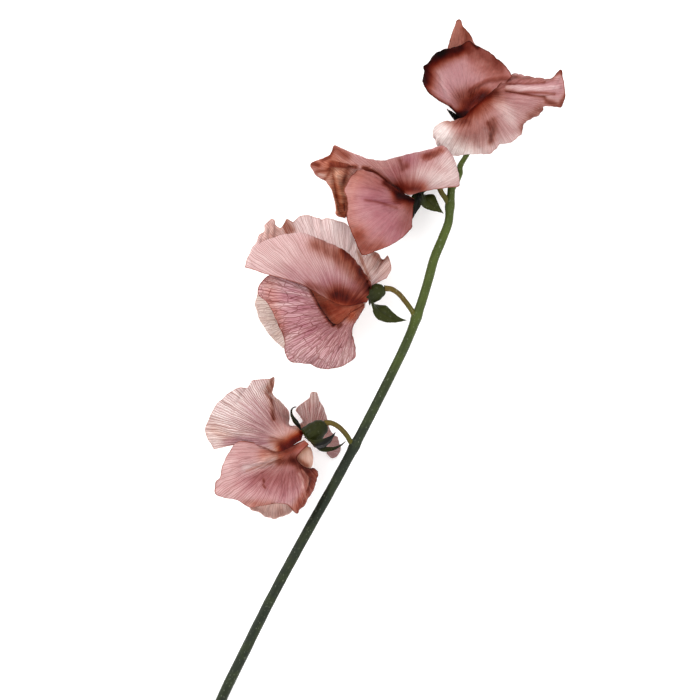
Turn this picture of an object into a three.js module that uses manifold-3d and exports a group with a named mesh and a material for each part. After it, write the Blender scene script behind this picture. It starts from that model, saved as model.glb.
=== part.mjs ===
// A cut stem of sweet pea in flower, lying down: one stem that carries four flowers on short pedicels.
// Millimetres, +Z up. The stem runs along +Y, and the origin is under the middle of the whole spray.
import * as THREE from "three";
import { mergeVertices } from "three/addons/utils/BufferGeometryUtils.js";
import Module from "manifold-3d";

const wasm = await Module();
wasm.setup();

// Driving dimensions.
const GAP = 0.3;
const PETAL_THICKNESS = 0.6;
const KEEL_THICKNESS = 0.5;
const CALYX_THICKNESS = 0.6;
const STEM_RADIUS = 1.6;
const TOP_PEDICEL_RADIUS = 1.2;
const PEDICEL_RADIUS = 0.75;
const STAMEN_RADIUS = 0.5;
const TABLE_SOFTNESS = 1;
const SHORTEST_TOOTH = 0.5;
const CALYX_BASE_RADIUS = 0.9;
const MERGE_DISTANCE = 1e-3;

// Shares of a calyx: the rows that make its cup, and the length of a tooth over which it twists.
const MOUTH = 0.375;
const TWISTED_BY = 0.4;
// Shares of a keel: the stretch of its line that is modelled, its least swell, where the stamens'
// points are along it, and how deep they lie.
const KEEL_SPAN = [0.03, 0.97];
const LEAST_SWELL = 0.12;
const STAMEN_STOPS = [0.12, 0.3, 0.5, 0.68, 0.84];
const STAMEN_DEPTH = 0.4;

// The stem's centreline, from the cut end to the fork under the top flower. It rests on its cut end
// and rises to the height at which the flowers hold it.
const STEM_PATH = [
  [-48.5, -128.5, 1.6], [-40.3, -110, 3], [-35.4, -100, 3.7], [-25.4, -80, 5.1], [-14.6, -60, 6.5],
  [-3.5, -40, 7.8], [7, -20, 9.2], [17, 0, 10.5], [21.1, 10, 11.1], [24.4, 20, 11.6], [26.9, 29, 12],
  [29.6, 35.6, 12.2], [31.5, 40.8, 12.3], [32, 46, 12.2], [32.5, 52, 12],
];

// Colours of the plain solids.
const COLOURS = {
  banner: 0xd9a9a4, wing_near: 0xc58a90, wing_far: 0xd0a09c, keel: 0xd6b48c, stamens: 0xdccf90,
  calyx: 0x3f5a34, pedicel: 0x7c8a3c, stem: 0x4d6440,
};

// How finely each kind of petal is faceted: rows from claw to margin, columns across.
const GRIDS = { banner: [8, 20], wing_near: [7, 12], wing_far: [6, 9], keel: [6, 8], calyx: [8, 20] };
const [STEM_STEPS, STEM_SIDES] = [20, 8];
const [TUBE_STEPS, TUBE_SIDES] = [8, 6];
const TOOTH_STEPS = 12;

// The flowers, numbered from the tip of the stem down. Every petal is a net of rails in its flower's
// own frame: the first rail is the claw, the last is the free margin, and the rails between them carry
// the throat, belly and folds. Each rail runs across the petal from one side to the other.
// A calyx is a cup from base to mouth with five teeth. A tooth has its angle and half width in degrees
// round the cup, its length, its headings from root to tip in degrees from the cup's axis, its taper,
// its bulge at half length, its twist in degrees, and the power by which its curl gathers at the tip.
// A keel is a boat from base to tip with its fused edge on the down side.
const FLOWERS = {
  1: {
    at: [36.16, 73.92, 12.5],
    calyx: {
      base: [1.6, -5.4, -5.4], mouth: [0.5, -1, -2], radius: 2.3,
      teeth: [
        { angle: 0, width: 36, length: 3, from: 30, to: 70, taper: 1, bulge: 0, twist: 0, curl: 1 },
        { angle: 72, width: 36, length: 2.5, from: 10, to: 30, taper: 1, bulge: 0, twist: 0, curl: 1 },
        { angle: 144, width: 36, length: 3, from: 20, to: 50, taper: 1, bulge: 0, twist: 0, curl: 1 },
        { angle: 216, width: 42, length: 5.6, from: 28, to: 46, taper: 0.85, bulge: 0, twist: 0, curl: 1 },
        { angle: 288, width: 36, length: 3, from: 30, to: 60, taper: 1, bulge: 0, twist: 0, curl: 1 },
      ],
    },
    keel: { base: [0.4, 1.4, -3], bend: [1.5, 8, -5], tip: [-0.5, 15, -6.5], down: [0.95, 0.1, -0.3],
      depth: 4.5, width: 1.8, fullness: 1 },
    pedicel: [[-3.7, -21.9, -0.5], [-2.3, -19.6, -0.8], [-1.2, -17.4, -1.4], [-0.9, -15, -2.4],
       [0.5, -12.6, -3.7], [1.9, -10, -5], [2.5, -7.6, -5.9], [1.9, -5.8, -5.6]],
    banner: [
      [[-1.5, 0, 1.3], [0.5, 0.6, 1.9], [2.5, 3, 0.6]],
      [[-3.2, -0.8, 4], [1, -1, 6.8], [6, 2.6, 7.5], [9.2, 6, 6.3], [9.4, 8.8, 2.8]],
      [[-6, -0.9, 4], [-3, -4.4, 6], [4, -4.2, 7.3], [11, 0, 8], [16, 4.6, 7], [18, 9.4, 6.5],
       [13, 12.2, 2]],
      [[-8.6, -2.2, 1.9], [-6.6, -7.4, 1.9], [1.5, -8, 1.3], [9, -5.8, 2.5], [15, -2.8, 3.3],
       [21, 2.4, 3.1], [27, 8, 6.5], [24.5, 12.2, 4.5], [15.6, 13.2, 1]],
      [[-9.7, -3.7, 0.6], [-9.5, -5.8, -0.7], [-8.2, -8, -2], [-4.6, -11.2, -3], [-2, -11.9, -3.2],
       [0.7, -11.3, -3], [4.2, -10.8, -4.5], [7, -11.2, -5.7], [10.4, -9.8, -4.7],
       [11.2, -8.4, -3.7], [15, -7.3, -3.2], [18.1, -5.3, -2.5], [19.8, -1.4, -1.2],
       [23.6, 0.9, -1.7], [25.2, 2.8, -1.2], [26.3, 5.4, 1], [30.8, 3.9, 1.9], [32.6, 6.9, 4.4],
       [31.8, 13.5, 4.4], [31.3, 15.4, 3.1], [28.2, 12.9, 0.6], [23.3, 12.9, -0.7],
       [19.8, 13.2, -1], [17.6, 14.9, -0.7], [14.6, 13.6, -0.5]],
    ],
    wing_near: [
      [[-0.7, -0.1, 0.3], [1.4, 0.8, -0.6]],
      [[-4.4, 3.7, 2.5], [-1.6, 6.5, -0.6], [2.5, 6.8, -1], [5.8, 4.8, 0.6]],
      [[-8.4, 6, 5], [-5.5, 11.5, 1], [1, 14, -0.6], [7, 12, 0], [10.6, 8.6, 2.3]],
      [[-11.6, 8.8, 6.3], [-10, 15.6, 3.1], [-3.5, 19, 1.9], [4.5, 19.2, 2.3], [10.5, 15.5, 2.5],
       [14, 11.6, 3.1]],
      [[-13.2, 11.8, 6.3], [-12.6, 14.2, 6.8], [-12.8, 16.4, 6.8], [-10.9, 17.8, 7],
       [-9.6, 20, 6.8], [-7.8, 21.3, 6.5], [-4.6, 22.3, 6.3], [-0.8, 23.2, 5.8], [1.7, 24.7, 6],
       [3.8, 23.5, 5.5], [8.2, 21.2, 5.3], [11.2, 18.7, 5], [13.4, 16.9, 4.8], [15.7, 13.5, 4.3]],
    ],
    wing_far: [
      [[-0.6, 1, -2.5], [1.2, 1.4, -3.2]],
      [[-3.6, 6.4, -6.2], [0, 9, -9.4], [5, 7.5, -7.5]],
      [[-6.5, 14.5, -8.1], [0, 16.5, -12.7], [8, 13, -10]],
      [[-5, 22, -6.2], [-1.6, 25.5, -7.5], [3, 23, -9.2], [8.5, 17.5, -10]],
      [[-4, 25.2, -5.7], [-3, 28.8, -5.2], [-2.2, 31.5, -5], [-0.9, 32, -5], [0.1, 30.2, -5.5],
       [1.6, 28.3, -6.2], [3, 26.4, -7], [3.5, 24.4, -8], [9, 18.5, -10.5]],
    ],
  },
  2: {
    at: [19.84, 49.28, 16.2],
    calyx: {
      base: [6.9, 4.8, -1.8], mouth: [2.1, 3.1, -0.6], radius: 2.3,
      teeth: [
        { angle: 18, width: 36, length: 3, from: 30, to: 60, taper: 1, bulge: 0, twist: 0, curl: 1 },
        { angle: 90, width: 36, length: 1.6, from: 10, to: 20, taper: 1, bulge: 0, twist: 0, curl: 1 },
        { angle: 170, width: 38, length: 10, from: 105, to: 128, taper: 0.8, bulge: 1.7, twist: 90, curl: 1 },
        { angle: 226, width: 30, length: 11.6, from: 72, to: 75, taper: 0.8, bulge: 1.3, twist: -60, curl: 1 },
        { angle: 306, width: 36, length: 4, from: 40, to: 80, taper: 1.2, bulge: 0, twist: 0, curl: 1 },
      ],
    },
    keel: { base: [-0.8, -0.8, 0], bend: [-7, -2, 0], tip: [-13, -9, -0.6], down: [0.6, -0.8, 0],
      depth: 5, width: 1.9, fullness: 1 },
    pedicel: [[12.1, -3.2, -3.9], [10.7, -0.8, -3.4], [9.4, 1.1, -2.8], [8.5, 3.1, -2.3],
       [7.2, 4.6, -1.9]],
    banner: [
      [[1.6, 0.9, 2.5], [-0.6, 0.2, 3.8], [-2.4, 0.6, 2.5]],
      [[6, 1.7, 6.3], [3, 4, 9], [-2.4, 4.6, 8.8], [-6.5, 4.6, 5.3], [-8.5, 3, 0]],
      [[11.5, 2.4, 7.8], [9, 7, 11.3], [2.5, 10, 11.3], [-6, 8.6, 8.8], [-12.5, 8, 5.5],
       [-17, 6, 0], [-16, 0, -5]],
      [[14.8, 3, 5.8], [13, 9.2, 9.3], [6, 12.6, 10], [-2.5, 11.6, 8.8], [-10, 9.6, 7],
       [-16.5, 9, 5], [-21.5, 9.5, 3.8], [-25, 6.5, 1.3], [-23.6, 1, -2.5], [-20.5, -4, -6.2]],
      [[14.5, 6.7, 5], [13.2, 11.2, 6.5], [9.9, 15.6, 6.3], [5.8, 14.6, 5.3], [-2.5, 12.7, 4.3],
       [-9.8, 10.6, 3.5], [-17.2, 9.6, 3.3], [-20.6, 13.2, 4], [-24.7, 15.8, 5], [-26.1, 13, 3],
       [-28.2, 11.8, 2], [-32.3, 10.1, 3], [-30.6, 6.6, 1.3], [-27.4, 4.6, -0.5], [-25.4, 1.2, -2],
       [-24.3, -3, -3.7], [-23.8, -6.2, -4.5], [-21.3, -7, -6.7]],
      [[12, 6, -3.7], [11.5, 10, -3.7], [7, 12.4, -4.5], [-1, 10.6, -5.6], [-9, 8.6, -6.2],
       [-16, 7.5, -5.7], [-22, 8.5, -5], [-25, 7, -6.2], [-23, 1, -8.7], [-20, -4, -10.6]],
      [[11, 4, -11.9], [9, 9, -13.1], [4, 11, -15.6], [-3, 9, -17.5], [-10, 7.5, -18.1],
       [-16, 6, -16.2], [-21, 7, -13.7], [-22.5, 3, -14.4], [-21, -2, -15.6], [-17, -6, -16.9]],
    ],
    wing_near: [
      [[-1.4, -0.2, 2], [0.9, -1.4, 0.8]],
      [[-6.2, 3, 3.8], [-5.8, -1.6, 4.5], [-2.8, -3.8, 4.3], [0.3, -3.4, 1.5]],
      [[-11, 6.6, 4.5], [-13, -0.5, 7.8], [-10.4, -6.5, 8.8], [-5, -8.5, 7.5], [0.2, -5.8, 2]],
      [[-15, 8.6, 4], [-18.2, 1.4, 7], [-17.4, -8, 8.5], [-11.8, -13.4, 8.5], [-4.7, -12, 6.3],
       [0, -8.2, 2.5]],
      [[-16.9, 8.5, 3], [-19.4, 6.2, 3.3], [-21.7, 1.8, 3.8], [-20.9, -0.6, 4.8], [-20.6, -4, 5.5],
       [-20.8, -7.4, 5.8], [-19.6, -11.2, 6], [-17.8, -15.6, 5.5], [-15.8, -19.1, 4.5],
       [-12.6, -18.2, 5.8], [-8, -16.4, 6.3], [-3.6, -13.8, 5.3], [-0.4, -10.7, 3.3], [0.1, -9, 2]],
    ],
    wing_far: [
      [[-1, 0, -0.7], [0.8, -1.2, -1.5]],
      [[-7, 2, -2.5], [-6, -2, -4.5], [-2, -3.6, -4.7]],
      [[-14, 5, -3], [-14.5, -2, -6.7], [-8, -7.5, -9.2], [-2, -6, -7.5]],
      [[-19.5, 7.5, -2.2], [-21.4, 2, -3.7], [-21.6, -5.5, -6.2], [-17.6, -10, -11.2],
       [-12, -12.5, -16], [-6, -11.5, -17], [-2.5, -8, -12.5]],
    ],
  },
  3: {
    at: [5.8, 16.6, 17.5],
    calyx: {
      base: [4.9, 2.9, 1], mouth: [0.4, 0.9, 1], radius: 2.7,
      teeth: [
        { angle: 26, width: 36, length: 2.6, from: 20, to: 60, taper: 1.2, bulge: 0, twist: 0, curl: 1 },
        { angle: 98, width: 36, length: 1.2, from: 10, to: 20, taper: 1, bulge: 0, twist: 0, curl: 1 },
        { angle: 170, width: 40, length: 13, from: 98, to: 160, taper: 0.75, bulge: 1.1, twist: 75, curl: 1 },
        { angle: 242, width: 34, length: 4, from: 50, to: 100, taper: 1.3, bulge: 0, twist: 0, curl: 1 },
        { angle: 314, width: 34, length: 3, from: 30, to: 70, taper: 1.3, bulge: 0, twist: 0, curl: 1 },
      ],
    },
    keel: { base: [-1, -1.6, 0.9], bend: [-9, 3, 0.9], tip: [-19, 4.5, 0.4], down: [0.1, -0.99, 0],
      depth: 11, width: 2.1, fullness: 0.85 },
    pedicel: [[15, -5.6, -6.3], [13.6, -3.4, -5], [11.8, -1, -3.4], [9.8, 1.3, -1.4], [7.5, 2.8, 0.4],
       [5.1, 3.1, 1]],
    banner: [
      [[-0.4, -1.4, 2.3], [0.6, 0.8, 3.3], [1.4, 3.2, 0.8]],
      [[-9, -2.3, 4.3], [-9.5, 1.6, 7], [-6.5, 5.2, 9], [-2.6, 5, 7.5], [0.9, 3.6, 3.3]],
      [[-21.5, 4.3, 9], [-22, 9, 12.5], [-18.5, 14, 13.8], [-13.5, 15, 13.8], [-8, 12.4, 12],
       [-3.2, 8.6, 8.8], [0.7, 4.6, 4.5]],
      [[-32.8, 7.6, 10.3], [-36.2, 12, 10], [-34.9, 15.7, 10.5], [-30.5, 18.4, 11.1],
       [-25.3, 20, 11.6], [-20.2, 20.3, 11.5], [-15.5, 18.4, 10.8], [-11, 16.6, 10.3],
       [-6.8, 14.4, 9.5], [-3, 10.2, 8], [0.2, 5.6, 5.5], [1, 2.6, 3]],
      [[-36.5, 8.9, 9.5], [-36.8, 12.8, 8], [-34.2, 16.4, 6.3], [-30, 17.8, 4.5], [-25, 18.6, 3],
       [-19.6, 18.6, 1.5], [-14.5, 16.8, 0.5], [-9.8, 14.6, -0.2], [-5.6, 12, -1],
       [-2.2, 8.6, -1.5], [1.2, 6.2, -1.5], [2.6, 4.6, -1.5]],
      [[-39.3, 9.7, 8.1], [-38.6, 12.2, 7.3], [-37.4, 14.6, 6], [-36.2, 17.4, 5], [-33.4, 21.2, 5],
       [-32.6, 23.4, 5.3], [-30.4, 25.1, 5.8], [-28.2, 21.8, 2.8], [-26, 25.1, 3.8],
       [-24.2, 24.2, 1.9], [-21.8, 26.1, 0], [-18.6, 26.4, -1.5], [-15.3, 25, -3],
       [-13.4, 25.6, -2], [-10.2, 24.7, -2.7], [-6.8, 23.6, -3.7], [-4.2, 19, -4.5],
       [-1.6, 13.4, -4.5], [0.6, 14.5, -3.2], [3, 14.4, -2], [4.5, 12.5, -3.2], [6.3, 13.5, -1.7],
       [7.4, 9.2, -1.7], [5.8, 6.4, -2.2]],
    ],
    wing_near: [
      [[-1.2, -2, 2.5], [-1.5, -3.6, 1.8]],
      [[-5.5, -4.6, 3.8], [-5, -6.4, 4.3], [-3.1, -6.3, 3.3]],
      [[-10.2, -8.4, 4.3], [-10, -10.6, 5.3], [-7, -11, 5.6], [-4.8, -8.9, 4]],
      [[-14.2, -4.4, 6], [-17, -8.5, 7.8], [-14.5, -13.4, 8.3], [-9, -14.8, 7.3],
       [-5.1, -11.4, 4.3]],
      [[-18.5, 2.8, 5.8], [-25.5, -1.5, 7], [-24.5, -10, 8.5], [-18.5, -16.5, 7.9],
       [-11.5, -18.6, 7], [-4.5, -13.8, 4]],
      [[-24, 6.8, 6], [-29.5, 7.6, 5.8], [-33, 6.2, 5], [-35.4, 1.8, 3.8], [-32.2, -1.5, 5.3],
       [-30.4, -4.6, 6.3], [-28.6, -8.6, 6.5], [-26.6, -13.6, 5.8], [-26.6, -17.6, 4.5],
       [-24.4, -20.3, 3.8], [-19.5, -21, 4], [-15.5, -22.3, 4], [-11.5, -22.6, 4],
       [-7.2, -21.1, 3.8], [-4.2, -18.9, 3.5], [-4.1, -15.8, 3.3]],
    ],
    wing_far: [
      [[-0.8, -1.5, -0.7], [-1, -3, -1.5]],
      [[-8, -3, -3], [-8, -6.5, -5], [-5, -6, -4.2]],
      [[-15, 0, -4.2], [-22, -3, -7.5], [-20, -9, -12.5], [-14, -12, -14.4], [-8, -11, -11.9],
       [-5, -8, -6.9]],
      [[-27, 6, -3], [-33.4, 4.4, -0.6], [-36, -1.2, -0.7], [-35.2, -5.5, -2], [-33.6, -9, -3.7],
       [-30, -13.6, -7.5], [-26, -16.6, -13.1], [-19, -18.5, -17.5], [-12, -18.5, -19.4],
       [-6, -16, -16.2], [-5, -12, -11.2]],
    ],
  },
  4: {
    at: [-15.4, -27.8, 16.2],
    calyx: {
      base: [7.4, 4.2, 0.2], mouth: [1.9, -0.1, 0], radius: 3.3,
      teeth: [
        { angle: 0, width: 32, length: 9.3, from: 90, to: 250, taper: 2, bulge: 0, twist: 75, curl: 4 },
        { angle: 72, width: 30, length: 4, from: 80, to: 130, taper: 1.4, bulge: 0, twist: 0, curl: 1 },
        { angle: 130, width: 36, length: 10.6, from: 100, to: 222, taper: 0.8, bulge: 0.9, twist: 12, curl: 1 },
        { angle: 198, width: 36, length: 12, from: 104, to: 196, taper: 1.9, bulge: 0, twist: 60, curl: 1 },
        { angle: 270, width: 40, length: 5, from: 60, to: 120, taper: 1.5, bulge: 0, twist: 0, curl: 1 },
      ],
    },
    keel: { base: [1.4, -2.2, -1.8], bend: [-3.5, -8, -1.2], tip: [-9, -17, -1.8], down: [0.85, -0.53, 0],
      depth: 6, width: 1.9, fullness: 1.2 },
    pedicel: [[16.4, -3, -8], [15.2, -0.9, -6.6], [13.7, 1.3, -4.6], [11.7, 3.3, -2.2], [9.3, 4.5, -0.3],
       [7.2, 4.4, 0.2]],
    banner: [
      [[-0.2, -1, 1.8], [0.3, 0.6, 1.7], [0.8, 1.3, 0], [1.1, 0.8, -1.8], [0.9, -0.4, -2.4]],
      [[-7.2, -4.6, 5.3], [-7.6, 0.6, 5.8], [-5.4, 3.8, 4.3], [-1.2, 1.8, -3.1], [1.4, 2.8, -6.9],
       [3, 0.6, -8.2]],
      [[-13.8, -2.7, 5.5], [-15.6, 3.2, 7.3], [-9.6, 8.8, 6.5], [-3.4, 3, -2.2], [1.6, 4.2, -9.5],
       [5.2, 2.5, -11.9], [5.8, -2.6, -12.2]],
      [[-20.5, -2.4, 2.5], [-22.3, 0.3, 3.9], [-23.3, 4.2, 5.5], [-22.3, 7.7, 6.2],
       [-19, 10.6, 6.5], [-14, 12.8, 6.2], [-10.5, 12.9, 4.6], [-7.4, 8.8, 1], [-3.8, 3.6, -4.6],
       [0.6, 4.6, -9.6], [1.8, 7, -11.8], [3.4, 8.4, -13.2], [4.9, 7.4, -14.4], [6.9, 4.6, -15.2],
       [8.2, 1, -15.9], [8.6, -2, -16.1], [7.6, -4, -16]],
      [[-28, -3.8, 1.5], [-29.8, -1, 2.3], [-30.9, 2.5, 2.3], [-29.6, 5.6, 2.5], [-28.1, 9.1, 2.5],
       [-24.8, 12.8, 3.3], [-20.6, 15.6, 3.8], [-16.6, 16, 3.8], [-15.4, 18.2, 4.8],
       [-11, 18.6, 4.5], [-8.5, 18.9, 1.9], [-9.3, 13.6, -0.6], [-6.5, 11.3, -2.2],
       [-4.3, 8.4, -3.7], [-4, 6.2, -4.8], [-4.1, 4.1, -5.8], [-2.8, 2, -6.5], [0.9, 4.5, -9.5],
       [-0.6, 6.9, -11.3], [-2, 8.6, -11.9], [0.4, 11, -13], [2.4, 12.4, -14.2],
       [2.9, 14.1, -14.7], [4.9, 14, -15], [5.6, 10.8, -15.7], [7.4, 8.6, -16.5], [7.9, 5, -17],
       [9.8, 0.8, -17.5], [11.7, -0.9, -17.5], [12.2, -4.2, -17], [11.4, -6.2, -16.5],
       [9.6, -7, -16.2], [8, -5.6, -16.2]],
    ],
    wing_near: [
      [[0.8, -0.9, 1], [2.3, -2.3, 0.6]],
      [[-5.6, -3.6, 2.3], [-5, -5.9, 2], [-1.4, -6.2, 2.3]],
      [[-10.2, -3.2, 3.8], [-11.6, -6.6, 5.3], [-10.4, -8.8, 2.8], [-7, -11.5, 5],
       [-3.5, -10.8, 5.3], [-0.3, -8.6, 2.5]],
      [[-15.5, -1.6, 5.8], [-18.6, -6.4, 6.8], [-17.2, -10.6, 3.8], [-13, -15, 6],
       [-5.5, -15.6, 7], [-0.2, -13.4, 6], [2.2, -9.9, 2.3]],
      [[-19.4, -1.2, 5.3], [-22.4, -7.2, 5.5], [-22, -13.4, 4.8], [-18, -17.2, 6.3],
       [-11, -19, 7.8], [-4.4, -19.2, 7], [0.8, -16.8, 5.5], [3, -13.2, 3], [3.8, -9.9, 1]],
      [[-21.2, -2.2, 4.3], [-23.2, -4.7, 3.5], [-24.7, -7.8, 3], [-25.7, -11.4, 2.8],
       [-27.5, -14.8, 3.3], [-27.6, -17.9, 3.5], [-24.6, -19.4, 3.5], [-20.6, -19.9, 4],
       [-17, -22.2, 4.8], [-12.6, -21.8, 6.3], [-8, -21, 7], [-4.6, -21.5, 6.3],
       [-1.8, -24.2, 4.3], [0.2, -22.4, 3.3], [2.6, -18.8, 2], [4.7, -14.2, 0.8], [5.1, -11, 0]],
    ],
    wing_far: [
      [[0.2, -1.8, -1.2], [1.8, -2.2, -2]],
      [[-4, -7, -3.7], [-1.5, -8, -5.7], [2.6, -6.5, -5.5]],
      [[-12, -11, -3], [-9, -15, -8.7], [-3, -15, -11.2], [3, -11, -8.7]],
      [[-20, -17, -1.7], [-15, -21, -6.2], [-9, -22.5, -10], [-3, -20.5, -12.5],
       [2.5, -15.5, -11.2]],
      [[-22, -18.4, -0.5], [-16.8, -22.6, -2.5], [-13.8, -24.3, -3.7], [-11.4, -25.6, -5],
       [-8.6, -26.2, -6.2], [-5.4, -25.2, -8.1], [-3, -23.8, -10], [-0.5, -20.5, -12.5],
       [3, -16, -11.2]],
    ],
  },
};

const vec = (p) => new THREE.Vector3(...p);
const smoothCurve = (points) => new THREE.CatmullRomCurve3(points.map(vec), false, "catmullrom", 0.5);

// Samples a surface, a function of (u, v) in 0..1, at rows x columns cells.
function sample(surface, [rows, columns], closed = false) {
  const across = closed ? columns : columns + 1;
  const grid = [];
  for (let i = 0; i <= rows; i++) {
    const row = [];
    for (let j = 0; j < across; j++) row.push(surface(i / rows, j / columns));
    grid.push(row);
  }
  return grid;
}

// The smooth surface through a net of rails: each rail is a smooth curve along v, and the points at
// the same v on all the rails are joined by a smooth curve along u.
function railSurface(rails) {
  const curves = rails.map(smoothCurve);
  return (u, v) => smoothCurve(curves.map((c) => c.getPoint(v).toArray())).getPoint(u);
}

// A point that would sink through the table spreads out on it instead.
function restOnTable(point, table) {
  const height = point.z - table;
  point.z = table + (height + Math.hypot(height, TABLE_SOFTNESS)) / 2;
  return point;
}

// Unit normals of a sampled surface.
function gridNormals(grid, closed) {
  const rows = grid.length;
  const columns = grid[0].length;
  const at = (i, j) => grid[THREE.MathUtils.clamp(i, 0, rows - 1)][
    closed ? (j + columns) % columns : THREE.MathUtils.clamp(j, 0, columns - 1)];
  return grid.map((row, i) => row.map((_, j) => {
    const du = at(i + 1, j).clone().sub(at(i - 1, j));
    const dv = at(i, j + 1).clone().sub(at(i, j - 1));
    return du.cross(dv).normalize();
  }));
}

// A closed solid of the given thickness with the sampled surface at its middle. A closed grid wraps
// round in v, as a cup does, and keeps its two ends open.
function sheetSolid(grid, thickness, closed = false) {
  const rows = grid.length;
  const columns = grid[0].length;
  const normals = gridNormals(grid, closed);
  const vertices = [];
  for (const side of [0.5, -0.5]) {
    grid.forEach((row, i) => row.forEach((p, j) => {
      const moved = p.clone().addScaledVector(normals[i][j], side * thickness);
      vertices.push(moved.x, moved.y, moved.z);
    }));
  }
  const front = (i, j) => i * columns + (j % columns);
  const back = (i, j) => rows * columns + front(i, j);
  const triangles = [];
  const quad = (a, b, c, d) => triangles.push(a, b, c, a, c, d);
  const cellsAcross = closed ? columns : columns - 1;
  for (let i = 0; i < rows - 1; i++) {
    for (let j = 0; j < cellsAcross; j++) {
      quad(front(i, j), front(i + 1, j), front(i + 1, j + 1), front(i, j + 1));
      quad(back(i, j), back(i, j + 1), back(i + 1, j + 1), back(i + 1, j));
    }
  }
  for (let j = 0; j < cellsAcross; j++) {
    quad(front(0, j), front(0, j + 1), back(0, j + 1), back(0, j));
    quad(front(rows - 1, j + 1), front(rows - 1, j), back(rows - 1, j), back(rows - 1, j + 1));
  }
  if (!closed) {
    for (let i = 0; i < rows - 1; i++) {
      quad(front(i + 1, 0), front(i, 0), back(i, 0), back(i + 1, 0));
      const last = columns - 1;
      quad(front(i, last), front(i + 1, last), back(i + 1, last), back(i, last));
    }
  }
  return new wasm.Manifold(new wasm.Mesh({
    numProp: 3,
    vertProperties: new Float32Array(vertices),
    triVerts: new Uint32Array(triangles),
  }));
}

// A geometry's triangles as a solid.
function solidOf(geometry) {
  geometry.deleteAttribute("normal");
  geometry.deleteAttribute("uv");
  const merged = mergeVertices(geometry, MERGE_DISTANCE);
  return new wasm.Manifold(new wasm.Mesh({
    numProp: 3,
    vertProperties: new Float32Array(merged.attributes.position.array),
    triVerts: new Uint32Array(merged.index.array),
  }));
}

// A round tube with closed ends along a smooth curve.
function tube(curve, radius, steps, sides) {
  const section = new THREE.Shape();
  for (let k = 0; k < sides; k++) {
    const angle = (k / sides) * 2 * Math.PI;
    section[k ? "lineTo" : "moveTo"](radius * Math.cos(angle), radius * Math.sin(angle));
  }
  section.closePath();
  return solidOf(new THREE.ExtrudeGeometry(section, { steps, extrudePath: curve, bevelEnabled: false }));
}

// The keel's centreline at s in 0..1, and how deep its fused edge hangs below it there.
function keelLine(keel, s) {
  const line = new THREE.QuadraticBezierCurve3(vec(keel.base), vec(keel.bend), vec(keel.tip));
  const arch = Math.max(0, Math.sin(Math.PI * Math.min(1, s ** (1 / keel.fullness))));
  return { point: line.getPoint(s), swell: LEAST_SWELL + (1 - LEAST_SWELL) * arch ** (1 / keel.fullness) };
}

// The keel: at each s along its line, half an ellipse from one free edge round the fused edge to the
// other, as deep as depth times the swell and as wide as width times its root.
function keelSurface(keel) {
  const down = vec(keel.down).normalize();
  const side = new THREE.Vector3(0, 0, 1);
  return (u, v) => {
    const { point, swell } = keelLine(keel, THREE.MathUtils.lerp(...KEEL_SPAN, u));
    const angle = Math.PI * (v - 0.5);
    return point
      .addScaledVector(down, keel.depth * swell * Math.cos(angle))
      .addScaledVector(side, keel.width * Math.sqrt(swell) * Math.sin(angle));
  };
}

// The column of stamens round the pistil, which runs along the keel at under half its depth.
function stamenCurve(keel) {
  const down = vec(keel.down).normalize();
  const points = STAMEN_STOPS.map((s) => {
    const { point, swell } = keelLine(keel, s);
    return point.addScaledVector(down, STAMEN_DEPTH * keel.depth * swell);
  });
  return new THREE.CatmullRomCurve3(points);
}

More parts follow.
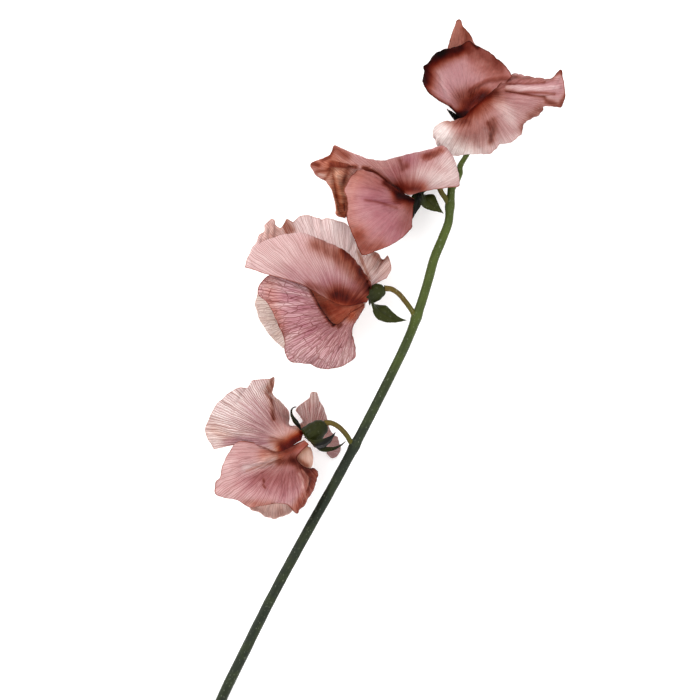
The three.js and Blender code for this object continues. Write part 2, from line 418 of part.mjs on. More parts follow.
// The calyx: a round-bottomed cup up to its mouth, then teeth. The middle of a tooth leaves the mouth
// along an arc that turns from its first heading to its last. Each column of it is cut off at its
// length times (1 - distance from the middle / half width) to the power of its taper. The columns
// keep their places on the rim, spread by the bulge at half length, and turn round the arc by the
// tooth's twist over the first part of its length.
function calyxSurface(calyx) {
  const base = vec(calyx.base);
  const axis = vec(calyx.mouth).sub(base);
  const cupLength = axis.length();
  axis.normalize();
  const first = new THREE.Vector3(axis.y, -axis.x, 0).normalize();
  const second = first.clone().cross(axis).normalize();
  const outward = (degrees) => {
    const angle = THREE.MathUtils.degToRad(degrees);
    return first.clone().multiplyScalar(Math.cos(angle)).addScaledVector(second, Math.sin(angle));
  };
  const cupPoint = (t, degrees) => {
    const swell = Math.sqrt(1 - (1 - t) ** 2);
    const radius = CALYX_BASE_RADIUS + (calyx.radius - CALYX_BASE_RADIUS) * swell;
    return base.clone().addScaledVector(axis, cupLength * t).addScaledVector(outward(degrees), radius);
  };
  // Where the tooth's middle line is after a reach, as steps along its arc, and which way it heads.
  const follow = (tooth, reach) => {
    const radial = outward(tooth.angle);
    const towards = (share) => {
      const degrees = tooth.from + (tooth.to - tooth.from) * share ** tooth.curl;
      const heading = THREE.MathUtils.degToRad(degrees);
      return axis.clone().multiplyScalar(Math.cos(heading)).addScaledVector(radial, Math.sin(heading));
    };
    const moved = new THREE.Vector3();
    for (let k = 0; k < TOOTH_STEPS; k++) {
      const share = ((k + 0.5) / TOOTH_STEPS) * (reach / tooth.length);
      moved.addScaledVector(towards(share), reach / TOOTH_STEPS);
    }
    return { moved, heading: towards(reach / tooth.length) };
  };
  return (u, v) => {
    const degrees = 360 * v;
    if (u <= MOUTH) return cupPoint(u / MOUTH, degrees);
    const out = (u - MOUTH) / (1 - MOUTH);
    const aside = (tooth) => THREE.MathUtils.euclideanModulo(degrees - tooth.angle + 180, 360) - 180;
    const away = (tooth) => Math.abs(aside(tooth)) / tooth.width;
    const tooth = calyx.teeth.reduce((best, t) => (away(t) < away(best) ? t : best));
    const reach = out * Math.max(SHORTEST_TOOTH, tooth.length * Math.max(0, 1 - away(tooth)) ** tooth.taper);
    const share = reach / tooth.length;
    const { moved, heading } = follow(tooth, reach);
    const root = cupPoint(1, tooth.angle);
    const wide = tooth.bulge * 4 * share * (1 - share);
    const spread = calyx.radius * THREE.MathUtils.degToRad(aside(tooth)) * wide;
    const across = cupPoint(1, degrees).sub(root).addScaledVector(outward(tooth.angle + 90), spread);
    const turned = tooth.twist * THREE.MathUtils.smoothstep(share, 0, TWISTED_BY);
    across.applyAxisAngle(heading, THREE.MathUtils.degToRad(turned));
    return root.add(moved).add(across);
  };
}

function geometryOf(solid) {
  const { vertProperties, triVerts } = solid.getMesh();
  const geometry = new THREE.BufferGeometry();
  geometry.setAttribute("position", new THREE.BufferAttribute(vertProperties, 3));
  geometry.setIndex(new THREE.BufferAttribute(triVerts, 1));
  return geometry;
}

// The largest body of a solid once vertices that nearly touch are merged, so that a cut leaves no crumbs.
function largest(solid) {
  const bodies = solidOf(geometryOf(solid)).decompose();
  return bodies.reduce((best, body) => (body.volume() > best.volume() ? body : best));
}

function boxesMeet(a, b) {
  const [p, q] = [a.boundingBox(), b.boundingBox()];
  return [0, 1, 2].every((k) => p.min[k] < q.max[k] && q.min[k] < p.max[k]);
}

// A solid cut clear of the fattened solids of its neighbours.
function clearOf(solid, neighbours) {
  const touching = neighbours.filter((other) => boxesMeet(solid, other) && !solid.intersect(other).isEmpty());
  return touching.length ? largest(touching.reduce((left, other) => left.subtract(other), solid)) : solid;
}

function meshOf(name, kind, solid) {
  const geometry = geometryOf(solid);
  geometry.computeVertexNormals();
  const material = new THREE.MeshStandardMaterial({
    color: COLOURS[kind], roughness: 0.6, metalness: 0, flatShading: true,
  });
  const mesh = new THREE.Mesh(geometry, material);
  mesh.name = name;
  return mesh;
}

// One flower: the calyx first, then its pedicel, the keel with its stamens, the wings and the banner.
// Each piece is cut clear of all that were made before it, whose fattened solids are in taken.
function buildFlower(number, flower, taken) {
  const group = new THREE.Group();
  group.position.set(...flower.at);
  const table = -flower.at[2];
  const add = (kind, solid, fattened) => {
    const clear = clearOf(solid.translate(flower.at), taken);
    taken.push(fattened.translate(flower.at), clear);
    group.add(meshOf(`${kind}_${number}`, kind, clear.translate(flower.at.map((c) => -c))));
  };
  const addSheet = (kind, surface, thickness, closed = false) => {
    const grid = sample((u, v) => restOnTable(surface(u, v), table), GRIDS[kind], closed);
    add(kind, sheetSolid(grid, thickness, closed), sheetSolid(grid, thickness + 2 * GAP, closed));
  };
  const addTube = (kind, curve, radius) => {
    add(kind, tube(curve, radius, TUBE_STEPS, TUBE_SIDES), tube(curve, radius + GAP, TUBE_STEPS, TUBE_SIDES));
  };
  const calyx = calyxSurface(flower.calyx);
  // Run backwards round the cup, so that the solid faces out.
  addSheet("calyx", (u, v) => calyx(u, 1 - v), CALYX_THICKNESS, true);
  addTube("pedicel", smoothCurve(flower.pedicel), number === "1" ? TOP_PEDICEL_RADIUS : PEDICEL_RADIUS);
  addSheet("keel", keelSurface(flower.keel), KEEL_THICKNESS);
  addTube("stamens", stamenCurve(flower.keel), STAMEN_RADIUS);
  for (const kind of ["wing_near", "wing_far", "banner"]) {
    addSheet(kind, railSurface(flower[kind]), PETAL_THICKNESS);
  }
  return group;
}

const spray = new THREE.Group();
const stemCurve = smoothCurve(STEM_PATH);
spray.add(meshOf("stem", "stem", tube(stemCurve, STEM_RADIUS, STEM_STEPS, STEM_SIDES)));
const taken = [tube(stemCurve, STEM_RADIUS + GAP, STEM_STEPS, STEM_SIDES)];
for (const [number, flower] of Object.entries(FLOWERS)) spray.add(buildFlower(number, flower, taken));

// The origin is at the bottom centre of the spray's box.
spray.updateMatrixWorld(true);
const box = new THREE.Box3().setFromObject(spray, true);
spray.position.set(-(box.min.x + box.max.x) / 2, -(box.min.y + box.max.y) / 2, -box.min.z);

export default spray;
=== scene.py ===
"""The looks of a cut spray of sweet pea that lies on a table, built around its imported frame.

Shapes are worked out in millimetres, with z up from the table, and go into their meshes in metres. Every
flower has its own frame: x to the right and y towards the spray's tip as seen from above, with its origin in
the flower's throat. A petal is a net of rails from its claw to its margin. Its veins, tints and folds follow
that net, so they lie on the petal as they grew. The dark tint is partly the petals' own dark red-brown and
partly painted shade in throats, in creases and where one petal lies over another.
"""

from functools import partial
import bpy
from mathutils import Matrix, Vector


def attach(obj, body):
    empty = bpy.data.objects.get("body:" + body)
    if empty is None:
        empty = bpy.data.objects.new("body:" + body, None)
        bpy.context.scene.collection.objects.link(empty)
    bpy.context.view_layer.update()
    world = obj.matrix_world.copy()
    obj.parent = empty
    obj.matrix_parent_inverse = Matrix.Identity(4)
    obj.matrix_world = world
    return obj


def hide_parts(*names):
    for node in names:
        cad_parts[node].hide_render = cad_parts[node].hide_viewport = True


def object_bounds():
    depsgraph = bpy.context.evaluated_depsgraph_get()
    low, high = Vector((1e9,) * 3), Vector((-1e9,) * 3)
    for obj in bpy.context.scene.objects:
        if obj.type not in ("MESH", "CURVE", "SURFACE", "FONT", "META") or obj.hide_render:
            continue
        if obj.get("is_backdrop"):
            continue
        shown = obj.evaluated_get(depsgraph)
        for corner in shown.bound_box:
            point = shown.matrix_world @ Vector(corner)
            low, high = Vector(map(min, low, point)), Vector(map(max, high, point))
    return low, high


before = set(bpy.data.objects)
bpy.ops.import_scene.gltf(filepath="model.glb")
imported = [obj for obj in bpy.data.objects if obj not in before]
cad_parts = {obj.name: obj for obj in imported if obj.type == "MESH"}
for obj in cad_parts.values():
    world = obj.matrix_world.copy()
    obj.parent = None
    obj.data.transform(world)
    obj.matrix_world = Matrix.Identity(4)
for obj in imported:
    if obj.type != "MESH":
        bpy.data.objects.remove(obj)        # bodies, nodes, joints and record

from types import SimpleNamespace

import bpy
import numpy as np
from mathutils import Vector

bl_info = {
    "name": "Sweet Pea Spray",
    "version": (1, 0, 0),
    "blender": (4, 5, 0),
    "location": "View3D > Sidebar > Sweet Pea",
    "description": "Builds the petals, calyces, stalks and stage of a cut sweet pea spray",
    "category": "Object",
}

# --- Sizes ------------------------------------------------

CAD_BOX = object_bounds()
BODY = "root"
MM = 0.001
TAU = 2 * np.pi
UP = np.array([0.0, 0.0, 1.0])

# The stem's centreline, from its cut end to the fork under the top flower, its radius at both, and how wide
# the frame's own stem is.
STEM_PATH = [
    (-48.5, -128.5, 1.6), (-40.3, -110, 3), (-35.4, -100, 3.7), (-25.4, -80, 5.1), (-14.6, -60, 6.5),
    (-3.5, -40, 7.8), (7, -20, 9.2), (17, 0, 10.5), (21.1, 10, 11.1), (24.4, 20, 11.6), (26.9, 29, 12),
    (29.6, 35.6, 12.2), (31.5, 40.8, 12.3), (32, 46, 12.2), (32.5, 52, 12),
]
STEM_RADII = (1.74, 1.2)
CAD_STEM_RADIUS = 1.6

# What is laid over a petal's rose. Each petal holds the strength of each, point by point. The dark tint is
# partly the petals' own dark red-brown and partly painted shade.
TINTS = ("dark", "mauve", "pale", "orange")


def mark(tint, strength, width, points, rows=(0, 1)):
    """A soft stroke of one tint along a broken line seen from above, whose strength falls off as a bell. rows
    limits it to a stretch from the claw (0) to the margin (1)."""
    return {"tint": tint, "strength": strength, "width": width, "points": points, "rows": rows}


dark, mauve, pale, orange = (partial(mark, tint) for tint in TINTS)


def fold(height, width, points, rows=(0, 1)):
    """A rounded crease along a broken line: the petal rises by height, falling off as a bell."""
    return {"height": height, "width": width, "points": points, "rows": rows}


def tooth(angle, width, length, heading, taper, bulge=0.0, twist=0, curl=1):
    """A calyx tooth: where it stands round the cup and how wide, its length, the angles to the cup's axis
    that it starts and ends at, how fast it narrows, its belly, its turn about itself and its curl."""
    return {"angle": angle, "width": width, "length": length, "from": heading[0], "to": heading[1],
            "taper": taper, "bulge": bulge, "twist": twist, "curl": curl}


# How finely each piece is cut: rows out and columns across, or rings along and sides round.
BANNER_GRID = (140, 160)
WING_GRID = (110, 130)
FAR_WING_GRID = (80, 100)
KEEL_GRID = (90, 50)
CALYX_GRID = (64, 150)
STEM_RINGS = 260
STEM_SIDES = 30
STALK_RINGS = 70
STALK_SIDES = 20

# Edges that turn by more than this many degrees stay sharp.
SHARP_DEGREES = 60

# The calyx: the share of its rows that is the cup, its radius at the base, the least length of a tooth, the
# share of a tooth by which its twist is done, and how many steps the tooth is walked in.
MOUTH = 0.375
CALYX_BASE_RADIUS = 0.9
SHORTEST_TOOTH = 0.5
TWISTED_BY = 0.4
TOOTH_STEPS = 12

# The midrib of a calyx tooth: its depth, and its width as a share of the tooth's.
RIB_DEPTH = 0.16
RIB_WIDTH = 0.1

# How thin a calyx is at the tips of its teeth, as a share, and how high calyces and keels are uneven.
THIN_TIP = 0.45
UNEVEN = 0.08

# How full a keel is at its ends, and the shares of its back where it starts and stops.
LEAST_SWELL = 0.12
KEEL_ENDS = (0.03, 0.97)

# How far over the table the lowest places lie, and how softly what would go under it is pressed flat.
TABLE_CLEARANCE = 0.2
TABLE_SOFTNESS = 1.0

# Petals: how many crinkles there are in a full turn round the claw and how long the finer ones are, the
# shares of the way out by which crinkles are full and from which petals pale and ruffle, the lengths of
# margin over which ruffles shift and swell, how wide the thin rim is, and the share of light let through.
CRINKLES = 48
FINE_CRINKLE = 2.2
CRINKLED_BY = 0.3
PALED_FROM = 0.5
RUFFLED_FROM = 0.66
RUFFLES_SHIFT = 19
RUFFLES_SWELL = 13
THIN_RIM = 5
TRANSLUCENCE = 0.28

# Over what share of the way from claw to margin a stroke fades at the ends of its rows.
ROWS_FADE = 0.04

# Forked veins: how often they fork, how far out they first do, half their width, and how far out they begin
# to show and are clear.
VEIN_ORDERS = 4
FIRST_FORK = 5.5
FORK_WIDTH = 0.22
CLEAR_FROM = 2.0
CLEAR_AT = 9.0

# Net veins: how long a cell is and half the width of a line, in the petal's middle and near its margin, and
# the distances from the margin between which the second net fades in.
NET = {"Length": 5.0, "Width": 0.26}
MARGIN_NET = {"Length": 2.6, "Width": 0.24}
MARGIN_FROM = 1.5
MARGIN_TO = 5.0

# The lengths along the stem and along a flower's stalk between which their green turns.
STEM_TURNS = (100, 180)
STALK_TURNS = (0, 9)

# The width of the camera's sensor, and how high the flowers are that its height is counted from.
SENSOR = 36.0
FLOWER_HEIGHT = 12

# The soft lights: where each stands from the spray's middle, and the length of its side, in metres.
KEY_LIGHT = ((-1.1, 0.9, 1.5), 1.1)
FILL_LIGHT = ((1.2, -0.7, 1.3), 1.4)


# --- Flowers ----------------------------------------------

# The flowers, numbered from the spray's tip down: where each throat lies, its calyx, keel and stalk, and the
# rails of its petals from claw to margin. The top flower's stalk carries the stem on.
TOP_FLOWER = 1
FLOWERS = {
    1: {
        "at": (36.16, 73.92, 12.5),
        "calyx": {
            "base": (1.6, -5.4, -5.4), "mouth": (0.5, -1, -2), "radius": 2.3,
            "teeth": [
                tooth(0, 36, 3, (30, 70), 1),
                tooth(72, 36, 2.5, (10, 30), 1),
                tooth(144, 36, 3, (20, 50), 1),
                tooth(216, 42, 5.6, (28, 46), 0.85),
                tooth(288, 36, 3, (30, 60), 1),
            ],
        },
        "keel": {"base": (0.4, 1.4, -3), "bend": (1.5, 8, -5), "tip": (-0.5, 15, -6.5),
                 "down": (0.95, 0.1, -0.3), "depth": 4.5, "width": 1.8, "fullness": 1},
        "pedicel": [(-3.7, -21.9, -0.5), (-2.3, -19.6, -0.8), (-1.2, -17.4, -1.4), (-0.9, -15, -2.4),
                    (0.5, -12.6, -3.7), (1.9, -10, -5), (2.5, -7.6, -5.9), (1.9, -5.8, -5.6)],
        "banner": [
            [(-1.5, 0, 1.3), (0.5, 0.6, 1.9), (2.5, 3, 0.6)],
            [(-3.2, -0.8, 4), (1, -1, 6.8), (6, 2.6, 7.5), (9.2, 6, 6.3), (9.4, 8.8, 2.8)],
            [(-6, -0.9, 4), (-3, -4.4, 6), (4, -4.2, 7.3), (11, 0, 8), (16, 4.6, 7), (18, 9.4, 6.5),
             (13, 12.2, 2)],
            [(-8.6, -2.2, 1.9), (-6.6, -7.4, 1.9), (1.5, -8, 1.3), (9, -5.8, 2.5), (15, -2.8, 3.3),
             (21, 2.4, 3.1), (27, 8, 6.5), (24.5, 12.2, 4.5), (15.6, 13.2, 1)],
            [(-9.7, -3.7, 0.6), (-9.5, -5.8, -0.7), (-8.2, -8, -2), (-4.6, -11.2, -3), (-2, -11.9, -3.2),
             (0.7, -11.3, -3), (4.2, -10.8, -4.5), (7, -11.2, -5.7), (10.4, -9.8, -4.7),
             (11.2, -8.4, -3.7), (15, -7.3, -3.2), (18.1, -5.3, -2.5), (19.8, -1.4, -1.2),
             (23.6, 0.9, -1.7), (25.2, 2.8, -1.2), (26.3, 5.4, 1), (30.8, 3.9, 1.9), (32.6, 6.9, 4.4),
             (31.8, 13.5, 4.4), (31.3, 15.4, 3.1), (28.2, 12.9, 0.6), (23.3, 12.9, -0.7), (19.8, 13.2, -1),
             (17.6, 14.9, -0.7), (14.6, 13.6, -0.5)],
        ],
        "wing_near": [
            [(-0.7, -0.1, 0.3), (1.4, 0.8, -0.6)],
            [(-4.4, 3.7, 2.5), (-1.6, 6.5, -0.6), (2.5, 6.8, -1), (5.8, 4.8, 0.6)],
            [(-8.4, 6, 5), (-5.5, 11.5, 1), (1, 14, -0.6), (7, 12, 0), (10.6, 8.6, 2.3)],
            [(-11.6, 8.8, 6.3), (-10, 15.6, 3.1), (-3.5, 19, 1.9), (4.5, 19.2, 2.3), (10.5, 15.5, 2.5),
             (14, 11.6, 3.1)],
            [(-13.2, 11.8, 6.3), (-12.6, 14.2, 6.8), (-12.8, 16.4, 6.8), (-10.9, 17.8, 7), (-9.6, 20, 6.8),
             (-7.8, 21.3, 6.5), (-4.6, 22.3, 6.3), (-0.8, 23.2, 5.8), (1.7, 24.7, 6), (3.8, 23.5, 5.5),
             (8.2, 21.2, 5.3), (11.2, 18.7, 5), (13.4, 16.9, 4.8), (15.7, 13.5, 4.3)],
        ],
        "wing_far": [
            [(-0.6, 1, -2.5), (1.2, 1.4, -3.2)],
            [(-3.6, 6.4, -6.2), (0, 9, -9.4), (5, 7.5, -7.5)],
            [(-6.5, 14.5, -8.1), (0, 16.5, -12.7), (8, 13, -10)],
            [(-5, 22, -6.2), (-1.6, 25.5, -7.5), (3, 23, -9.2), (8.5, 17.5, -10)],
            [(-4, 25.2, -5.7), (-3, 28.8, -5.2), (-2.2, 31.5, -5), (-0.9, 32, -5), (0.1, 30.2, -5.5),
             (1.6, 28.3, -6.2), (3, 26.4, -7), (3.5, 24.4, -8), (9, 18.5, -10.5)],
        ],
    },
    2: {
        "at": (19.84, 49.28, 16.2),
        "calyx": {
            "base": (6.9, 4.8, -1.8), "mouth": (2.1, 3.1, -0.6), "radius": 2.3,
            "teeth": [
                tooth(18, 36, 3, (30, 60), 1),
                tooth(90, 36, 1.6, (10, 20), 1),
                tooth(170, 38, 10, (105, 128), 0.8, 1.7, 90),
                tooth(226, 30, 11.6, (72, 75), 0.8, 1.3, -60),
                tooth(306, 36, 4, (40, 80), 1.2),
            ],
        },
        "keel": {"base": (-0.8, -0.8, 0), "bend": (-7, -2, 0), "tip": (-13, -9, -0.6),
                 "down": (0.6, -0.8, 0), "depth": 5, "width": 1.9, "fullness": 1},
        "pedicel": [(12.1, -3.2, -3.9), (10.7, -0.8, -3.4), (9.4, 1.1, -2.8), (8.5, 3.1, -2.3),
                    (7.2, 4.6, -1.9)],
        "banner": [
            [(1.6, 0.9, 2.5), (-0.6, 0.2, 3.8), (-2.4, 0.6, 2.5)],
            [(6, 1.7, 6.3), (3, 4, 9), (-2.4, 4.6, 8.8), (-6.5, 4.6, 5.3), (-8.5, 3, 0)],
            [(11.5, 2.4, 7.8), (9, 7, 11.3), (2.5, 10, 11.3), (-6, 8.6, 8.8), (-12.5, 8, 5.5), (-17, 6, 0),
             (-16, 0, -5)],
            [(14.8, 3, 5.8), (13, 9.2, 9.3), (6, 12.6, 10), (-2.5, 11.6, 8.8), (-10, 9.6, 7),
             (-16.5, 9, 5), (-21.5, 9.5, 3.8), (-25, 6.5, 1.3), (-23.6, 1, -2.5), (-20.5, -4, -6.2)],
            [(14.5, 6.7, 5), (13.2, 11.2, 6.5), (9.9, 15.6, 6.3), (5.8, 14.6, 5.3), (-2.5, 12.7, 4.3),
             (-9.8, 10.6, 3.5), (-17.2, 9.6, 3.3), (-20.6, 13.2, 4), (-24.7, 15.8, 5), (-26.1, 13, 3),
             (-28.2, 11.8, 2), (-32.3, 10.1, 3), (-30.6, 6.6, 1.3), (-27.4, 4.6, -0.5), (-25.4, 1.2, -2),
             (-24.3, -3, -3.7), (-23.8, -6.2, -4.5), (-21.3, -7, -6.7)],
            [(12, 6, -3.7), (11.5, 10, -3.7), (7, 12.4, -4.5), (-1, 10.6, -5.6), (-9, 8.6, -6.2),
             (-16, 7.5, -5.7), (-22, 8.5, -5), (-25, 7, -6.2), (-23, 1, -8.7), (-20, -4, -10.6)],
            [(11, 4, -11.9), (9, 9, -13.1), (4, 11, -15.6), (-3, 9, -17.5), (-10, 7.5, -18.1),
             (-16, 6, -16.2), (-21, 7, -13.7), (-22.5, 3, -14.4), (-21, -2, -15.6), (-17, -6, -16.9)],
        ],
        "wing_near": [
            [(-1.4, -0.2, 2), (0.9, -1.4, 0.8)],
            [(-6.2, 3, 3.8), (-5.8, -1.6, 4.5), (-2.8, -3.8, 4.3), (0.3, -3.4, 1.5)],
            [(-11, 6.6, 4.5), (-13, -0.5, 7.8), (-10.4, -6.5, 8.8), (-5, -8.5, 7.5), (0.2, -5.8, 2)],
            [(-15, 8.6, 4), (-18.2, 1.4, 7), (-17.4, -8, 8.5), (-11.8, -13.4, 8.5), (-4.7, -12, 6.3),
             (0, -8.2, 2.5)],
            [(-16.9, 8.5, 3), (-19.4, 6.2, 3.3), (-21.7, 1.8, 3.8), (-20.9, -0.6, 4.8), (-20.6, -4, 5.5),
             (-20.8, -7.4, 5.8), (-19.6, -11.2, 6), (-17.8, -15.6, 5.5), (-15.8, -19.1, 4.5),
             (-12.6, -18.2, 5.8), (-8, -16.4, 6.3), (-3.6, -13.8, 5.3), (-0.4, -10.7, 3.3), (0.1, -9, 2)],
        ],
        "wing_far": [
            [(-1, 0, -0.7), (0.8, -1.2, -1.5)],
            [(-7, 2, -2.5), (-6, -2, -4.5), (-2, -3.6, -4.7)],
            [(-14, 5, -3), (-14.5, -2, -6.7), (-8, -7.5, -9.2), (-2, -6, -7.5)],
            [(-19.5, 7.5, -2.2), (-21.4, 2, -3.7), (-21.6, -5.5, -6.2), (-17.6, -10, -11.2),
             (-12, -12.5, -16), (-6, -11.5, -17), (-2.5, -8, -12.5)],
        ],
    },
    3: {
        "at": (5.8, 16.6, 17.5),
        "calyx": {
            "base": (4.9, 2.9, 1), "mouth": (0.4, 0.9, 1), "radius": 2.7,
            "teeth": [
                tooth(26, 36, 2.6, (20, 60), 1.2),
                tooth(98, 36, 1.2, (10, 20), 1),
                tooth(170, 40, 13, (98, 160), 0.75, 1.1, 75),
                tooth(242, 34, 4, (50, 100), 1.3),
                tooth(314, 34, 3, (30, 70), 1.3),
            ],
        },
        "keel": {"base": (-1, -1.6, 0.9), "bend": (-9, 3, 0.9), "tip": (-19, 4.5, 0.4),
                 "down": (0.1, -0.99, 0), "depth": 11, "width": 2.1, "fullness": 0.85},
        "pedicel": [(15, -5.6, -6.3), (13.6, -3.4, -5), (11.8, -1, -3.4), (9.8, 1.3, -1.4),
                    (7.5, 2.8, 0.4), (5.1, 3.1, 1)],
        "banner": [
            [(-0.4, -1.4, 2.3), (0.6, 0.8, 3.3), (1.4, 3.2, 0.8)],
            [(-9, -2.3, 4.3), (-9.5, 1.6, 7), (-6.5, 5.2, 9), (-2.6, 5, 7.5), (0.9, 3.6, 3.3)],
            [(-21.5, 4.3, 9), (-22, 9, 12.5), (-18.5, 14, 13.8), (-13.5, 15, 13.8), (-8, 12.4, 12),
             (-3.2, 8.6, 8.8), (0.7, 4.6, 4.5)],
            [(-32.8, 7.6, 10.3), (-36.2, 12, 10), (-34.9, 15.7, 10.5), (-30.5, 18.4, 11.1),
             (-25.3, 20, 11.6), (-20.2, 20.3, 11.5), (-15.5, 18.4, 10.8), (-11, 16.6, 10.3),
             (-6.8, 14.4, 9.5), (-3, 10.2, 8), (0.2, 5.6, 5.5), (1, 2.6, 3)],
            [(-36.5, 8.9, 9.5), (-36.8, 12.8, 8), (-34.2, 16.4, 6.3), (-30, 17.8, 4.5), (-25, 18.6, 3),
             (-19.6, 18.6, 1.5), (-14.5, 16.8, 0.5), (-9.8, 14.6, -0.2), (-5.6, 12, -1), (-2.2, 8.6, -1.5),
             (1.2, 6.2, -1.5), (2.6, 4.6, -1.5)],
            [(-39.3, 9.7, 8.1), (-38.6, 12.2, 7.3), (-37.4, 14.6, 6), (-36.2, 17.4, 5), (-33.4, 21.2, 5),
             (-32.6, 23.4, 5.3), (-30.4, 25.1, 5.8), (-28.2, 21.8, 2.8), (-26, 25.1, 3.8),
             (-24.2, 24.2, 1.9), (-21.8, 26.1, 0), (-18.6, 26.4, -1.5), (-15.3, 25, -3), (-13.4, 25.6, -2),
             (-10.2, 24.7, -2.7), (-6.8, 23.6, -3.7), (-4.2, 19, -4.5), (-1.6, 13.4, -4.5),
             (0.6, 14.5, -3.2), (3, 14.4, -2), (4.5, 12.5, -3.2), (6.3, 13.5, -1.7), (7.4, 9.2, -1.7),
             (5.8, 6.4, -2.2)],
        ],
        "wing_near": [
            [(-1.2, -2, 2.5), (-1.5, -3.6, 1.8)],
            [(-5.5, -4.6, 3.8), (-5, -6.4, 4.3), (-3.1, -6.3, 3.3)],
            [(-10.2, -8.4, 4.3), (-10, -10.6, 5.3), (-7, -11, 5.6), (-4.8, -8.9, 4)],
            [(-14.2, -4.4, 6), (-17, -8.5, 7.8), (-14.5, -13.4, 8.3), (-9, -14.8, 7.3), (-5.1, -11.4, 4.3)],
            [(-18.5, 2.8, 5.8), (-25.5, -1.5, 7), (-24.5, -10, 8.5), (-18.5, -16.5, 7.9),
             (-11.5, -18.6, 7), (-4.5, -13.8, 4)],
            [(-24, 6.8, 6), (-29.5, 7.6, 5.8), (-33, 6.2, 5), (-35.4, 1.8, 3.8), (-32.2, -1.5, 5.3),
             (-30.4, -4.6, 6.3), (-28.6, -8.6, 6.5), (-26.6, -13.6, 5.8), (-26.6, -17.6, 4.5),
             (-24.4, -20.3, 3.8), (-19.5, -21, 4), (-15.5, -22.3, 4), (-11.5, -22.6, 4),
             (-7.2, -21.1, 3.8), (-4.2, -18.9, 3.5), (-4.1, -15.8, 3.3)],
        ],
        "wing_far": [
            [(-0.8, -1.5, -0.7), (-1, -3, -1.5)],
            [(-8, -3, -3), (-8, -6.5, -5), (-5, -6, -4.2)],
            [(-15, 0, -4.2), (-22, -3, -7.5), (-20, -9, -12.5), (-14, -12, -14.4), (-8, -11, -11.9),
             (-5, -8, -6.9)],
            [(-27, 6, -3), (-33.4, 4.4, -0.6), (-36, -1.2, -0.7), (-35.2, -5.5, -2), (-33.6, -9, -3.7),
             (-30, -13.6, -7.5), (-26, -16.6, -13.1), (-19, -18.5, -17.5), (-12, -18.5, -19.4),
             (-6, -16, -16.2), (-5, -12, -11.2)],
        ],
    },
    4: {
        "at": (-15.4, -27.8, 16.2),
        "calyx": {
            "base": (7.4, 4.2, 0.2), "mouth": (1.9, -0.1, 0), "radius": 3.3,
            "teeth": [
                tooth(0, 32, 9.3, (90, 250), 2, 0, 75, 4),
                tooth(72, 30, 4, (80, 130), 1.4),
                tooth(130, 36, 10.6, (100, 222), 0.8, 0.9, 12),
                tooth(198, 36, 12, (104, 196), 1.9, 0, 60),
                tooth(270, 40, 5, (60, 120), 1.5),
            ],
        },
        "keel": {"base": (1.4, -2.2, -1.8), "bend": (-3.5, -8, -1.2), "tip": (-9, -17, -1.8),
                 "down": (0.85, -0.53, 0), "depth": 6, "width": 1.9, "fullness": 1.2},
        "pedicel": [(16.4, -3, -8), (15.2, -0.9, -6.6), (13.7, 1.3, -4.6), (11.7, 3.3, -2.2),
                    (9.3, 4.5, -0.3), (7.2, 4.4, 0.2)],
        "banner": [
            [(-0.2, -1, 1.8), (0.3, 0.6, 1.7), (0.8, 1.3, 0), (1.1, 0.8, -1.8), (0.9, -0.4, -2.4)],
            [(-7.2, -4.6, 5.3), (-7.6, 0.6, 5.8), (-5.4, 3.8, 4.3), (-1.2, 1.8, -3.1), (1.4, 2.8, -6.9),
             (3, 0.6, -8.2)],
            [(-13.8, -2.7, 5.5), (-15.6, 3.2, 7.3), (-9.6, 8.8, 6.5), (-3.4, 3, -2.2), (1.6, 4.2, -9.5),
             (5.2, 2.5, -11.9), (5.8, -2.6, -12.2)],
            [(-20.5, -2.4, 2.5), (-22.3, 0.3, 3.9), (-23.3, 4.2, 5.5), (-22.3, 7.7, 6.2), (-19, 10.6, 6.5),
             (-14, 12.8, 6.2), (-10.5, 12.9, 4.6), (-7.4, 8.8, 1), (-3.8, 3.6, -4.6), (0.6, 4.6, -9.6),
             (1.8, 7, -11.8), (3.4, 8.4, -13.2), (4.9, 7.4, -14.4), (6.9, 4.6, -15.2), (8.2, 1, -15.9),
             (8.6, -2, -16.1), (7.6, -4, -16)],
            [(-28, -3.8, 1.5), (-29.8, -1, 2.3), (-30.9, 2.5, 2.3), (-29.6, 5.6, 2.5), (-28.1, 9.1, 2.5),
             (-24.8, 12.8, 3.3), (-20.6, 15.6, 3.8), (-16.6, 16, 3.8), (-15.4, 18.2, 4.8),
             (-11, 18.6, 4.5), (-8.5, 18.9, 1.9), (-9.3, 13.6, -0.6), (-6.5, 11.3, -2.2),
             (-4.3, 8.4, -3.7), (-4, 6.2, -4.8), (-4.1, 4.1, -5.8), (-2.8, 2, -6.5), (0.9, 4.5, -9.5),
             (-0.6, 6.9, -11.3), (-2, 8.6, -11.9), (0.4, 11, -13), (2.4, 12.4, -14.2), (2.9, 14.1, -14.7),
             (4.9, 14, -15), (5.6, 10.8, -15.7), (7.4, 8.6, -16.5), (7.9, 5, -17), (9.8, 0.8, -17.5),
             (11.7, -0.9, -17.5), (12.2, -4.2, -17), (11.4, -6.2, -16.5), (9.6, -7, -16.2),
             (8, -5.6, -16.2)],
        ],
        "wing_near": [
            [(0.8, -0.9, 1), (2.3, -2.3, 0.6)],
            [(-5.6, -3.6, 2.3), (-5, -5.9, 2), (-1.4, -6.2, 2.3)],
            [(-10.2, -3.2, 3.8), (-11.6, -6.6, 5.3), (-10.4, -8.8, 2.8), (-7, -11.5, 5),
             (-3.5, -10.8, 5.3), (-0.3, -8.6, 2.5)],
            [(-15.5, -1.6, 5.8), (-18.6, -6.4, 6.8), (-17.2, -10.6, 3.8), (-13, -15, 6), (-5.5, -15.6, 7),
             (-0.2, -13.4, 6), (2.2, -9.9, 2.3)],
            [(-19.4, -1.2, 5.3), (-22.4, -7.2, 5.5), (-22, -13.4, 4.8), (-18, -17.2, 6.3), (-11, -19, 7.8),
             (-4.4, -19.2, 7), (0.8, -16.8, 5.5), (3, -13.2, 3), (3.8, -9.9, 1)],
